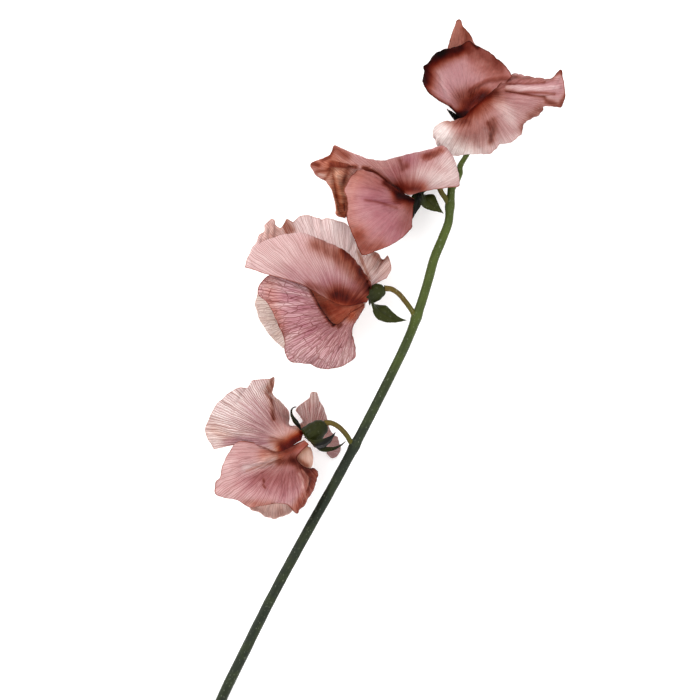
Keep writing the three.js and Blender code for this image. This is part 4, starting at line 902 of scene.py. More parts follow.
def sheet_shell(points, normals, thickness, places, held, wraps=False):
    """A sheet with two faces and a rim, out of a grid. Each face is the grid moved half the thickness along
    the normals, and the rim joins their edges. Corners run so that every face points out of the sheet.
    places are UV pairs on the grid, with one more column if it wraps, and held are values of each point."""
    rows, columns = points.shape[:2]
    half = normals * np.asarray(thickness)[..., None] / 2
    vertices = np.concatenate([(points + half).reshape(-1, 3), (points - half).reshape(-1, 3)])
    i, j = np.meshgrid(np.arange(rows - 1), np.arange(columns - (not wraps)), indexing="ij")
    corners = np.stack([[i, j], [i + 1, j], [i + 1, j + 1], [i, j + 1]]).reshape(4, 2, -1)
    top = corners.transpose(2, 0, 1)
    down, across = np.arange(rows), np.arange(columns + wraps)
    outer = np.stack([0 * across + rows - 1, across], -1)
    inner = np.stack([0 * across, across], -1)[::-1]
    if wraps:
        loops = [outer, inner]
    else:
        left = np.stack([down, 0 * down], -1)
        right = np.stack([down, 0 * down + columns - 1], -1)[::-1]
        loops = [np.concatenate([left, outer[1:], right[1:], inner[1:]])]
    edges = np.concatenate([np.stack([loop[:-1], loop[1:]], 1) for loop in loops])
    rim = np.stack([edges[:, 1], edges[:, 0], edges[:, 0], edges[:, 1]], 1)

    def number(grid):
        return grid[..., 0] * columns + grid[..., 1] % columns

    side = rows * columns
    faces = np.concatenate([number(top), number(top)[:, ::-1] + side, number(rim) + [0, 0, side, side]])
    where = np.concatenate([top, top[:, ::-1], rim])
    doubled = {name: np.concatenate([value.reshape(side, -1)] * 2) for name, value in held.items()}
    return SimpleNamespace(vertices=vertices, faces=faces, caps=[], held=doubled,
                           places=places[where[..., 0], where[..., 1]])


def tube_shell(path, radii, sides, section=None):
    """A closed tube: round rings about a path, each in the plane across it, with a flat face at both ends.
    radii has one radius for each ring, or one for each point. A section is (wide, high), times the radius."""
    along = unit(np.gradient(path, axis=0))
    right = unit(np.cross(along, UP))
    over = np.cross(right, along)
    turn = TAU * np.arange(sides) / sides
    wide, high = section or (1, 1)
    radii = np.asarray(radii).reshape(len(path), -1)[..., None]
    ring = (wide * np.cos(turn))[:, None] * right[:, None] + (high * np.sin(turn))[:, None] * over[:, None]
    points = path[:, None] + radii * ring
    rows = len(path)
    reach = lengths(path[:, None], 0)[:, 0]
    i, j = np.meshgrid(np.arange(rows - 1), np.arange(sides), indexing="ij")
    corners = np.stack([[i, j], [i, j + 1], [i + 1, j + 1], [i + 1, j]]).reshape(4, 2, -1).transpose(2, 0, 1)
    places = np.stack([reach[corners[..., 0]], corners[..., 1] / sides], -1)
    last = (rows - 1) * sides
    caps = [list(range(sides - 1, -1, -1)), list(range(last, last + sides))]
    walked = np.repeat(reach, sides)
    measures = np.stack([walked, reach[-1] - walked, 0 * walked], -1)
    held = {"measures": measures, "tints": np.zeros((rows * sides, len(TINTS)))}
    faces = corners[..., 0] * sides + corners[..., 1] % sides
    return SimpleNamespace(vertices=points.reshape(-1, 3), faces=faces, caps=caps, held=held, places=places)


def joined(shells):
    """Several shells as one."""
    starts = np.cumsum([0] + [len(s.vertices) for s in shells])
    return SimpleNamespace(
        vertices=np.concatenate([s.vertices for s in shells]),
        faces=np.concatenate([s.faces + start for s, start in zip(shells, starts)]),
        caps=[[corner + int(start) for corner in cap] for s, start in zip(shells, starts) for cap in s.caps],
        held={name: np.concatenate([s.held[name] for s in shells]) for name in shells[0].held},
        places=np.concatenate([s.places for s in shells]),
    )


def tints_on(points, look, rim_share):
    """The strength of each tint at each point of a petal: its base, what the margin adds, and its strokes in
    order. Strokes add up, but a pale one first thins what lies there."""
    tints = np.zeros(points.shape[:2] + (len(TINTS),)) + [look["base"].get(tint, 0) for tint in TINTS]
    tints[..., TINTS.index("pale")] += look["paling"] * rim_share
    for stroke in look["marks"]:
        laid = stroke["strength"] * cover(points, stroke)
        if stroke["tint"] == "pale":
            tints *= 1 - np.minimum(laid, 1)[..., None]
        tints[..., TINTS.index(stroke["tint"])] += laid
    return tints


def held_by(tints, look, rim):
    """What a petal's mesh holds at each point: its tints, then how clearly its net of veins shows, how far
    the free edge is, and how clearly its forked veins show."""
    return {"tints": tints, "measures": np.stack([0 * rim + look["net"], rim, 0 * rim + look["veins"]], -1)}


def petal_shell(flower, kind, look, sizes, grid, seed):
    """A petal: its net of rails, raised along its normals by creases, by fine crinkles that run out from the
    claw, and by ruffles that grow towards the margin, then pressed on the table and given its thickness."""
    points = rail_surface(flower[kind], *grid)
    on = measure(points, look["fans"])
    share = share_out(points)
    rays = on.turn * CRINKLES
    lift = sizes.crinkle * ripples(on.out / sizes.crinkle_long, rays, seed)
    lift += sizes.crinkle * 0.5 * ripples(on.out / FINE_CRINKLE, 2.5 * rays, seed + 50)
    lift *= smooth_step(share / CRINKLED_BY)
    margin = on.across[-1:] + 0 * on.out
    shift = 2 * ripples(margin / RUFFLES_SHIFT, 0 * margin, seed + 7)
    wave = np.sin(TAU * margin / sizes.ruffle_pitch + shift)
    swell = 0.6 + 0.4 * ripples(margin / RUFFLES_SWELL, 0 * margin, seed + 9)
    near_edge = smooth_step((share - RUFFLED_FROM) / (1 - RUFFLED_FROM))
    lift += look["ruffle"] * sizes.ruffle * wave * swell * near_edge
    for crease in look["folds"]:
        lift += crease["height"] * cover(points, crease)
    tints = tints_on(points, look, smooth_step((share - PALED_FROM) / (1 - PALED_FROM)))
    points = rest_on_table(points + on.normal * lift[..., None], flower["at"][2])
    thickness = sizes.margin + (sizes.petal - sizes.margin) * smooth_step(on.rim / THIN_RIM)
    held = held_by(tints, look, on.rim)
    return sheet_shell(points, normals_of(points), thickness, np.stack([on.out, on.turn], -1), held)


def calyx_surface(calyx, rows, columns):
    """A calyx as a grid from its base to the tips of its teeth, and how far each point is across its tooth,
    from -1 to 1. The cup widens as a quarter of an ellipse. Beyond its mouth each point walks out of the cup
    in short steps that turn from the tooth's first heading to its last, as far as the tooth reaches there,
    and the tooth bellies and turns about its own middle line."""
    base = np.array(calyx["base"], float)
    mouth = np.array(calyx["mouth"], float)
    depth = np.linalg.norm(mouth - base)
    axis = (mouth - base) / depth
    first = unit(np.array([axis[1], -axis[0], 0]))
    second = np.cross(first, axis)
    radius = calyx["radius"]

    def outward(degrees):
        angle = np.radians(degrees)[..., None]
        return first * np.cos(angle) + second * np.sin(angle)

    along, around = np.meshgrid(np.linspace(0, 1, rows), np.arange(columns) / columns, indexing="ij")
    degrees = 360 * around
    up = np.clip(along / MOUTH, 0, 1)
    cup_radius = CALYX_BASE_RADIUS + (radius - CALYX_BASE_RADIUS) * np.sqrt(1 - (1 - up) ** 2)
    cup = base + axis * (depth * up)[..., None] + outward(degrees) * cup_radius[..., None]

    teeth = {name: np.array([one[name] for one in calyx["teeth"]], float) for name in calyx["teeth"][0]}
    away = (degrees[..., None] - teeth["angle"] + 180) % 360 - 180
    nearest = np.argmin(np.abs(away) / teeth["width"], axis=-1)
    aside = np.take_along_axis(away, nearest[..., None], -1)[..., 0]
    own = {name: value[nearest] for name, value in teeth.items()}
    out = np.clip((along - MOUTH) / (1 - MOUTH), 0, 1)
    share = np.maximum(0, 1 - np.abs(aside) / own["width"])
    reach = np.maximum(SHORTEST_TOOTH, own["length"] * share ** own["taper"]) * out
    radial = outward(own["angle"])
    sideways = outward(own["angle"] + 90)

    def heading(part):
        angle = np.radians(own["from"] + (own["to"] - own["from"]) * part ** own["curl"])[..., None]
        return axis * np.cos(angle) + radial * np.sin(angle)

    walked = sum(heading((step + 0.5) / TOOTH_STEPS * reach / own["length"]) for step in range(TOOTH_STEPS))
    part = reach / own["length"]
    belly = radius * np.radians(aside) * own["bulge"] * 4 * part * (1 - part)
    offset = (outward(degrees) - radial) * radius + sideways * belly[..., None]
    turn = (np.radians(own["twist"]) * smooth_step(part / TWISTED_BY))[..., None]
    spin = heading(part)
    offset = (offset * np.cos(turn) + np.cross(spin, offset) * np.sin(turn)
              + spin * (spin * offset).sum(-1, keepdims=True) * (1 - np.cos(turn)))
    teeth_points = mouth + radial * radius + walked * (reach / TOOTH_STEPS)[..., None] + offset
    return np.where((along > MOUTH)[..., None], teeth_points, cup), aside / own["width"]


def calyx_shell(flower, shades, sizes, seed):
    """A calyx's grid with a midrib pressed into each tooth and a faint unevenness, as a sheet that thins
    towards the tips of its teeth. shades are strokes of near black: painted shade where sepals lie in shadow."""
    points, aside = calyx_surface(flower["calyx"], *CALYX_GRID)
    normal = normals_of(points, wraps=True)
    along = share_out(points)
    rib = np.exp(-(aside / RIB_WIDTH) ** 2) * smooth_step((along - 0.15) / 0.3)
    lift = -RIB_DEPTH * rib + UNEVEN * ripples(points[..., 0] / 2.6, points[..., 1] / 2.6, seed)
    points = rest_on_table(points + normal * lift[..., None], flower["at"][2])
    reach = lengths(points, 0)
    rim = reach[-1:] - reach
    thickness = sizes.calyx * (THIN_TIP + (1 - THIN_TIP) * smooth_step(rim / 4))
    shade = sum(stroke["strength"] * cover(points, stroke) for stroke in shades)
    held = {"tints": np.stack([rib, along, aside, shade], -1),
            "measures": np.stack([reach, rim, np.abs(aside)], -1)}
    columns = points.shape[1]
    around = np.arange(columns + 1) / columns + np.zeros((len(points), 1))
    places = np.stack([np.concatenate([reach, reach[:, :1]], 1), around], -1)
    return sheet_shell(points, normals_of(points, wraps=True), thickness, places, held, wraps=True)


def keel_line(keel, share):
    """The keel's back, a parabola from base to tip, and how full the keel is there: least at the ends and
    most where the power of a sine has its top."""
    base, bend, tip = (np.array(keel[name], float) for name in ("base", "bend", "tip"))
    s = np.asarray(share)[..., None]
    fullness = keel["fullness"]
    swell = np.maximum(0, np.sin(np.pi * np.minimum(1, share ** (1 / fullness)))) ** (1 / fullness)
    return (1 - s) ** 2 * base + 2 * s * (1 - s) * bend + s**2 * tip, LEAST_SWELL + (1 - LEAST_SWELL) * swell


def keel_shell(flower, look, sizes, seed):
    """A keel: a boat open along its back and half an ellipse in section. Its depth goes with how full it is,
    and its width with the square root of that."""
    keel = flower["keel"]
    down = unit(np.array(keel["down"], float))
    rows, columns = KEEL_GRID
    along, turn = np.meshgrid(np.linspace(*KEEL_ENDS, rows), np.linspace(-0.5, 0.5, columns), indexing="ij")
    back, swell = keel_line(keel, along)
    deep = keel["depth"] * look.get("deeper", 1) * swell * np.cos(np.pi * turn)
    wide = keel["width"] * np.sqrt(swell) * np.sin(np.pi * turn)
    points = back + down * deep[..., None] + UP * wide[..., None]
    on = measure(points, look["fans"])
    lift = UNEVEN * ripples(on.out / 4, on.across / 2, seed)
    points = rest_on_table(points + on.normal * lift[..., None], flower["at"][2])
    held = held_by(tints_on(points, look, 0 * lift), look, on.rim)
    thickness = sizes.petal + 0 * lift
    return sheet_shell(points, normals_of(points), thickness, np.stack([on.out, on.turn], -1), held)


def stamen_shells(flower):
    """The stamens inside the keel: nine filaments that run together as a sheath and part near the tip, one
    free filament above them, and an anther on each."""
    keel = flower["keel"]
    down = unit(np.array(keel["down"], float))
    filaments, sheath_rings, parted_from, free_from = 10, 26, 20, 4
    share = np.linspace(0.1, 0.84, 40)
    back, swell = keel_line(keel, share)
    middle = back + down * (0.4 * keel["depth"] * swell)[:, None]
    side = unit(np.cross(np.gradient(middle, axis=0), down))
    shells = [tube_shell(middle[:sheath_rings], np.linspace(0.42, 0.34, sheath_rings), 12, (1, 1.3))]
    for number in range(filaments):
        turn = TAU * number / filaments
        spread = 0.12 + 0.4 * smooth_step((share - 0.5) / 0.34)
        path = middle + (side * np.cos(turn) + down * np.sin(turn)) * spread[:, None]
        first = parted_from if number else free_from
        path = path[first:36 + number % 4]
        shells.append(tube_shell(path, np.linspace(0.11, 0.07, len(path)), 6))
        tip, way = path[-1], unit(path[-1] - path[-2])
        grain = tip + way * np.linspace(-0.25, 0.6, 7)[:, None]
        shells.append(tube_shell(grain, 0.04 + 0.2 * np.sin(np.linspace(0.15, np.pi - 0.15, 7)), 8))
    return shells


def stem_shell(radii, forks):
    """The stem: a long tube that narrows to the fork, with low ribs along it, and swollen where each stalk
    of a flower leaves it."""
    path = smooth_curve(STEM_PATH, np.linspace(0, 1, STEM_RINGS))
    reach = lengths(path[:, None], 0)[:, 0]
    low, high = radii
    radius = np.interp(reach / reach[-1], [0, 0.72, 0.9, 1], [low, 0.87 * low, 0.86 * low, high])
    swelling, swollen_for = 0.28, 1.8
    for fork in forks:
        nearest = np.argmin(np.linalg.norm(path - fork, axis=-1))
        radius = radius + swelling * np.exp(-((reach - reach[nearest]) / swollen_for) ** 2)
    turn = TAU * np.arange(STEM_SIDES)[None] / STEM_SIDES + 0.01 * reach[:, None]
    rows = reach[:, None] + 0 * turn
    ribs = 0.028 * np.cos(5 * turn) + 0.012 * ripples(rows / 9, np.cos(turn) * 1.5, 3)
    ribs = ribs + 0.01 * ripples(rows / 2.4, np.sin(turn) * 2, 5)
    return tube_shell(path, radius[:, None] * (1 + ribs), STEM_SIDES)


def pedicel_shell(flower, number, sizes):
    """A flower's stalk: a tube that is swollen where it leaves the stem and where it meets the calyx. The top
    one carries the stem on, so it starts thick and isn't swollen there."""
    knots = np.array(flower["pedicel"], float)
    path = smooth_curve(knots, np.linspace(0, 1, STALK_RINGS))
    reach = lengths(path[:, None], 0)[:, 0]
    first = sizes.top_pedicel if number == TOP_FLOWER else sizes.pedicel
    radius = first + (sizes.pedicel - first) * smooth_step(reach / reach[-1] / 0.6)
    radius = radius * (1 + 0.35 * np.exp(-(reach / 1.2) ** 2) * (number != TOP_FLOWER))
    radius = radius * (1 + 0.2 * np.exp(-((reach[-1] - reach) / 1.4) ** 2))
    turn = TAU * np.arange(STALK_SIDES)[None] / STALK_SIDES
    ribs = 0.03 * np.cos(4 * turn) + 0.03 * ripples(reach[:, None] / 3 + 0 * turn, np.cos(turn), number)
    return tube_shell(path, radius[:, None] * (1 + ribs), STALK_SIDES)


# --- Meshes -----------------------------------------------


def spray_origin():
    """Where the spray's own origin lies in the frame, in millimetres: the middle of the stem's cut end, less
    the start of its centreline."""
    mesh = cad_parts["stem"].data
    corners = np.zeros(len(mesh.vertices) * 3, np.float32)
    mesh.vertices.foreach_get("co", corners)
    corners = np.unique(np.round(corners.reshape(-1, 3) / MM, 3), axis=0)
    cut = corners[corners[:, 1] < corners[:, 1].min() + 2 * CAD_STEM_RADIUS]
    return cut.mean(0) - np.array(STEM_PATH[0])


def make_piece(name, shell, place, materials):
    """Puts a shell at its place into a mesh, hides the CAD node of that name, and lets the piece ride on the
    spray's body. The flat end faces take the last material."""
    mesh = bpy.data.meshes.new(name)
    vertices = (shell.vertices + np.asarray(place)) * MM
    mesh.from_pydata(vertices.tolist(), [], shell.faces.tolist() + shell.caps)
    flat = shell.places.reshape(-1, 2)
    layer = mesh.uv_layers.new(name="Petal")
    count = sum(len(cap) for cap in shell.caps)
    layer.data.foreach_set("uv", np.concatenate([flat, np.zeros((count, 2))]).ravel().astype(np.float32))
    colours = mesh.attributes.new("tints", "FLOAT_COLOR", "POINT")
    colours.data.foreach_set("color", shell.held["tints"].ravel().astype(np.float32))
    measures = mesh.attributes.new("measures", "FLOAT_VECTOR", "POINT")
    measures.data.foreach_set("vector", shell.held["measures"].ravel().astype(np.float32))
    for material in materials:
        mesh.materials.append(material)
    indices = np.zeros(len(mesh.polygons), np.int32)
    indices[len(shell.faces):] = len(materials) - 1
    mesh.polygons.foreach_set("material_index", indices)
    mesh.shade_smooth()
    mesh.set_sharp_from_angle(angle=np.radians(SHARP_DEGREES))
    mesh.validate()
    piece = bpy.data.objects.new(name + "_look", mesh)
    bpy.context.scene.collection.objects.link(piece)
    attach(piece, BODY)
    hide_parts(name)
    return piece


# --- Materials --------------------------------------------


class Graph:
    """A node tree that is being filled. Each call adds one node, sets or links its inputs, and returns one of
    its outputs, or all of them from split."""

    def __init__(self, tree):
        self.tree = tree

    def add(self, kind, values=(), output=0, **settings):
        node = self.tree.nodes.new(kind)
        for name, value in settings.items():
            setattr(node, name, value)
        for socket, value in dict(values).items():
            if isinstance(value, bpy.types.NodeSocket):
                self.tree.links.new(value, node.inputs[socket])
            else:
                node.inputs[socket].default_value = value
        return node.outputs[output]

    def math(self, operation, *values):
        return self.add("ShaderNodeMath", enumerate(values), operation=operation)

    def plus(self, first, second):
        return self.math("ADD", first, second)

    def minus(self, first, second):
        return self.math("SUBTRACT", first, second)

    def times(self, first, second):
        return self.math("MULTIPLY", first, second)

    def over(self, first, second):
        return self.math("DIVIDE", first, second)

    def mix(self, factor, first, second, way="MIX"):
        values = {0: factor, 6: first, 7: second}
        return self.add("ShaderNodeMix", values, 2, data_type="RGBA", blend_type=way)

    def ramp(self, value, low, high, first=0.0, last=1.0):
        values = enumerate((value, low, high, first, last))
        return self.add("ShaderNodeMapRange", values, interpolation_type="SMOOTHSTEP")

    def combine(self, x, y):
        return self.add("ShaderNodeCombineXYZ", {0: x, 1: y})

    def split(self, vector):
        return self.add("ShaderNodeSeparateXYZ", {0: vector}).node.outputs

    def noise(self, vector, scale, detail=2.0):
        return self.add("ShaderNodeTexNoise", {"Vector": vector, "Scale": scale, "Detail": detail})

    def held(self, name, output):
        return self.add("ShaderNodeAttribute", (), output, attribute_name=name)

    def group(self, name, values, output=0):
        return self.add("ShaderNodeGroup", values, output, node_tree=bpy.data.node_groups[name])


def new_group(name, inputs, outputs):
    """An empty shader group with named sockets. Returns its graph, its inputs and its outputs."""
    tree = bpy.data.node_groups.new(name, "ShaderNodeTree")
    for label, value in inputs.items():
        kind = {float: "NodeSocketFloat", tuple: "NodeSocketColor", list: "NodeSocketVector"}[type(value)]
        tree.interface.new_socket(name=label, in_out="INPUT", socket_type=kind).default_value = value
    for label, kind in outputs.items():
        tree.interface.new_socket(name=label, in_out="OUTPUT", socket_type=kind)
    given = tree.nodes.new("NodeGroupInput").outputs
    result = tree.nodes.new("NodeGroupOutput").inputs
    return Graph(tree), given, result


def shifted(graph, value, chance, reach):
    """A value moved by a noise of 0 to 1, by up to half of reach each way."""
    return graph.math("MULTIPLY_ADD", graph.minus(chance, 0.5), reach, value)


def build_forking_veins():
    """Veins that fork as they fan out. A full turn round the claw is cut into as many strips as it has first
    veins, and each strip's edge is a vein. In each strip a branch leaves one edge and drifts to the middle,
    which makes twice as many strips for the next order of branches, about twice as far from the claw. A slow
    wander and a quick shake bend them all, and some are fainter. A branch has drifted to the middle at a set
    multiple of the distance where it started. The mask is 1 on a vein's line and 0 at its width."""
    inputs = {"Place": [0, 0, 0], "Span": 10.0, "Veins": 16.0, "First Fork": 4.0, "Width": 0.2}
    graph, given, result = new_group("Forking Veins", inputs, {"Vein": "NodeSocketFloat"})
    x, y = graph.split(given["Place"])[:2]
    lane = graph.times(y, given["Veins"])
    slow = graph.noise(graph.combine(graph.times(x, 0.16), graph.times(lane, 0.6)), 1, 1)
    quick = graph.noise(graph.combine(x, graph.times(lane, 2.0)), 0.9, 0)
    strip = graph.over(given["Span"], given["Veins"])
    wander, shake, narrowest, drifted = 0.45, 0.22, 0.3, 1.6
    lane = shifted(graph, lane, slow, wander)
    lane = shifted(graph, lane, quick, graph.over(shake, graph.math("MAXIMUM", strip, narrowest)))
    found = None
    for order in range(VEIN_ORDERS):
        place = graph.times(lane, 2.0**order)
        part = graph.math("FRACT", place)
        wide = graph.over(strip, 2.0**order)
        number = graph.plus(graph.math("FLOOR", place), 7.3 * order)
        chance = graph.add("ShaderNodeTexWhiteNoise", {"W": number}, noise_dimensions="1D")
        start = graph.times(graph.math("MULTIPLY_ADD", chance, 0.8, 0.7), given["First Fork"])
        start = graph.times(start, 2.0**order)
        opened = graph.ramp(x, start, graph.times(start, drifted), 0.0, 0.5)
        branch = graph.math("ABSOLUTE", graph.minus(part, opened))
        if order == 0:
            edge = graph.math("MINIMUM", part, graph.minus(1.0, part))
            branch = graph.math("MINIMUM", branch, edge)
        shown = graph.math("MULTIPLY_ADD", chance, -0.5, 1.0)
        line = graph.ramp(graph.times(branch, wide), 0.0, given["Width"], shown, 0.0)
        found = line if found is None else graph.math("MAXIMUM", found, line)
    graph.tree.links.new(found, result["Vein"])


def build_net_veins():
    """A net of veins round long cells that fan out. Cells are those of scattered points in a space squeezed
    along the petal, and a vein is where two points are equally near. Half the difference of the squared
    distances, divided by the length in real millimetres of the step between the two points, is the real
    distance to the vein, so that all veins are equally thin. The mask is 1 on the line and 0 at its width."""
    inputs = {"Place": [0, 0, 0], "Span": 10.0, "Cells": 20.0, "Length": 4.0, "Width": 0.2}
    graph, given, result = new_group("Net Veins", inputs, {"Vein": "NodeSocketFloat"})

    def squared(value):
        return graph.math("POWER", graph.math("ABSOLUTE", value), 2.0)

    x, y = graph.split(given["Place"])[:2]
    across = graph.times(y, given["Cells"])
    along = graph.over(x, given["Length"])
    wander = graph.noise(graph.combine(along, graph.times(across, 0.5)), 1.3, 1)
    across = shifted(graph, across, wander, 1.1)
    place = graph.combine(along, across)
    near, far = (
        graph.add("ShaderNodeTexVoronoi", {"Vector": place, "Scale": 1.0, "Randomness": 0.85},
                  feature=feature, voronoi_dimensions="2D").node.outputs
        for feature in ("F1", "F2")
    )
    step = graph.add("ShaderNodeVectorMath", {0: far["Position"], 1: near["Position"]}, operation="SUBTRACT")
    step_x, step_y = graph.split(step)[:2]
    slope_x = graph.over(step_x, given["Length"])
    slope_y = graph.over(graph.times(step_y, given["Cells"]), given["Span"])
    slope = graph.math("SQRT", graph.plus(squared(slope_x), squared(slope_y)))
    gap = graph.minus(squared(far["Distance"]), squared(near["Distance"]))
    distance = graph.over(graph.times(gap, 0.5), graph.math("MAXIMUM", slope, 0.001))
    faint = graph.ramp(graph.noise(place, 0.8, 1.0), 0.35, 0.65, 0.45, 1.0)
    graph.tree.links.new(graph.ramp(distance, 0.0, given["Width"], faint, 0.0), result["Vein"])


def build_glaze():
    """A glaze over a colour: each channel is multiplied by the filter's, raised to the power of how thick the
    glaze is, so that a thick glaze is deeper as well as darker."""
    inputs = {"Colour": (1, 1, 1, 1), "Filter": (1, 1, 1, 1), "Thickness": 0.0}
    graph, given, result = new_group("Glaze", inputs, {"Colour": "NodeSocketColor"})
    parts = graph.add("ShaderNodeSeparateColor", {0: given["Filter"]}).node.outputs
    powers = [graph.math("POWER", part, given["Thickness"]) for part in parts]
    passed = graph.add("ShaderNodeCombineColor", enumerate(powers))
    graph.tree.links.new(graph.mix(1.0, given["Colour"], passed, "MULTIPLY"), result["Colour"])


def build_petal_tints():
    """A petal's colour: rose, paler where the petal is pale, under glazes of mauve, orange and dark as thick
    as the petal holds them, then of the veins, and a thin dark line along the free edge. The dark glaze is
    partly the petal's own dark red-brown and partly painted shade. Streaks along the veins make the glazes
    thicker and thinner."""
    inputs = {"Place": [0, 0, 0], "Tints": (0, 0, 0, 1), "Orange": 0.0, "Vein": 0.0, "Streaks": 0.5,
              "Rim": 5.0}
    inputs |= {f"{name} Colour": (1, 1, 1, 1) for name in ("Rose", "Mauve", "Pale", "Orange", "Dark", "Vein")}
    graph, given, result = new_group("Petal Tints", inputs, {"Colour": "NodeSocketColor"})
    place = graph.add("ShaderNodeTexCoord", (), "Object")
    parts = graph.add("ShaderNodeSeparateColor", {0: given["Tints"]}).node.outputs
    out, turn = graph.split(given["Place"])[:2]
    ray = graph.combine(graph.times(out, 0.1), graph.times(turn, 70.0))
    streak = graph.noise(ray, 1.0, 5.0)
    blotch = graph.noise(place, 300.0, 3.0)
    uneven = graph.times(graph.ramp(streak, 0.3, 0.7, -0.3, 0.3), given["Streaks"])
    thick = graph.plus(graph.plus(uneven, 1.0), graph.ramp(blotch, 0.3, 0.7, -0.12, 0.12))
    paleness = graph.times(parts[2], graph.ramp(streak, 0.3, 0.7, 1.15, 0.85))
    colour = graph.mix(paleness, given["Rose Colour"], given["Pale Colour"])
    bare = graph.minus(1.0, graph.math("MINIMUM", parts[2], 1.0))
    outline = graph.times(graph.ramp(given["Rim"], 0.0, 0.55, 0.7, 0.0), bare)
    glazes = (
        ("Mauve", graph.times(parts[1], thick)),
        ("Orange", graph.times(given["Orange"], thick)),
        ("Dark", graph.times(parts[0], thick)),
        ("Vein", given["Vein"]),
        ("Dark", outline),
    )
    for name, thickness in glazes:
        values = {"Colour": colour, "Filter": given[f"{name} Colour"], "Thickness": thickness}
        colour = graph.group("Glaze", values)
    grain = graph.ramp(graph.noise(place, 3200.0, 1.0), 0.2, 0.8, 0.95, 1.05)
    colour = graph.add("ShaderNodeVectorMath", {0: colour, "Scale": grain}, operation="SCALE")
    graph.tree.links.new(colour, result["Colour"])


def build_leaf_skin():
    """The green skin of stalks and calyces: one green turning to another, clouded, with fine pale specks and
    faint lines along it, and near black where painted shade is laid."""
    inputs = {"Place": [0, 0, 0], "Turned": 0.0, "First Colour": (1, 1, 1, 1), "Last Colour": (1, 1, 1, 1),
              "Speck Colour": (1, 1, 1, 1), "Specks": 0.5, "Lines": 20.0, "Shade": 0.0}
    outputs = {"Colour": "NodeSocketColor", "Height": "NodeSocketFloat"}
    graph, given, result = new_group("Leaf Skin", inputs, outputs)
    place = graph.add("ShaderNodeTexCoord", (), "Object")
    x, y = graph.split(given["Place"])[:2]
    cloud = graph.ramp(graph.noise(place, 150.0, 3.0), 0.35, 0.65, -0.15, 0.15)
    colour = graph.mix(graph.plus(given["Turned"], cloud), given["First Colour"], given["Last Colour"])
    lined = graph.combine(graph.times(x, 0.12), graph.times(y, given["Lines"]))
    line = graph.noise(lined, 1.0, 2.0)
    tone = graph.ramp(line, 0.3, 0.7, 0.86, 1.14)
    colour = graph.add("ShaderNodeVectorMath", {0: colour, "Scale": tone}, operation="SCALE")
    stretched = graph.add("ShaderNodeMapping", {"Vector": place, "Scale": (1.0, 0.7, 1.0)})
    dots = graph.add("ShaderNodeTexVoronoi", {"Vector": stretched, "Scale": 1500.0}, feature="F1")
    speck = graph.ramp(dots, 0.12, 0.42, 1.0, 0.0)
    some = graph.ramp(graph.noise(place, 900.0, 1.0), 0.45, 0.65)
    speck = graph.times(graph.times(speck, some), given["Specks"])
    colour = graph.mix(speck, colour, given["Speck Colour"])
    # Near black where a calyx holds strokes of painted shade.
    near_black = (0.004, 0.004, 0.003, 1)
    colour = graph.mix(given["Shade"], colour, near_black)
    height = graph.math("MULTIPLY_ADD", speck, 0.4, graph.times(line, 0.5))
    graph.tree.links.new(colour, result["Colour"])
    graph.tree.links.new(height, result["Height"])


def new_material(name):
    """A material with only its output node. Returns it with its graph and the output's surface socket."""
    material = bpy.data.materials.new(name)
    material.use_nodes = True
    material.node_tree.nodes.clear()
    output = material.node_tree.nodes.new("ShaderNodeOutputMaterial")
    return material, Graph(material.node_tree), output.inputs["Surface"]


def petal_material(name, colours, veins, cells):
    """A petal: a satin skin with sunken veins, that also lets light through. Veins and cells are how many
    first veins and how many cells of their net there are in a full turn. Near the margin a finer net joins
    in."""
    material, graph, surface = new_material(name)
    place = graph.add("ShaderNodeUVMap", (), uv_map="Petal")
    span = graph.times(graph.split(place)[0], TAU)
    net, rim, forks = graph.split(graph.held("measures", "Vector"))
    values = {"Place": place, "Span": span, "Veins": veins, "First Fork": FIRST_FORK, "Width": FORK_WIDTH}
    forked = graph.times(graph.group("Forking Veins", values), forks)
    clear = graph.ramp(graph.split(place)[0], CLEAR_FROM, CLEAR_AT, 0.15, 1.0)
    forked = graph.times(forked, clear)
    coarse = graph.group("Net Veins", {"Place": place, "Span": span, "Cells": cells} | NET)
    fine = graph.group("Net Veins", {"Place": place, "Span": span, "Cells": 2 * cells} | MARGIN_NET)
    at_margin = graph.ramp(rim, MARGIN_FROM, MARGIN_TO, 1.0, 0.0)
    coarse = graph.times(coarse, graph.minus(1.0, graph.times(at_margin, 0.5)))
    meshed = graph.times(graph.math("MAXIMUM", coarse, graph.times(fine, at_margin)), net)
    vein = graph.math("MAXIMUM", forked, meshed)
    values = {"Place": place, "Tints": graph.held("tints", "Color"), "Orange": graph.held("tints", "Alpha"),
              "Vein": vein, "Streaks": graph.times(forks, clear), "Rim": rim}
    values |= {f"{label} Colour": tuple(tone) for label, tone in colours.items()}
    colour = graph.group("Petal Tints", values)
    object_place = graph.add("ShaderNodeTexCoord", (), "Object")
    cells_height = graph.noise(object_place, 1800.0, 2.0)
    height = graph.math("MULTIPLY_ADD", vein, -0.8, graph.times(cells_height, 0.5))
    normal = graph.add("ShaderNodeBump", {"Strength": 0.45, "Distance": 0.12 * MM, "Height": height})
    roughness = graph.ramp(cells_height, 0.3, 0.7, 0.5, 0.62)
    skin = {"Base Color": colour, "Roughness": roughness, "Specular IOR Level": 0.12, "Normal": normal}
    front = graph.add("ShaderNodeBsdfPrincipled", skin)
    glow = graph.add("ShaderNodeBsdfTranslucent", {"Color": colour, "Normal": normal})
    graph.tree.links.new(graph.add("ShaderNodeMixShader", {0: TRANSLUCENCE, 1: front, 2: glow}), surface)
    return material


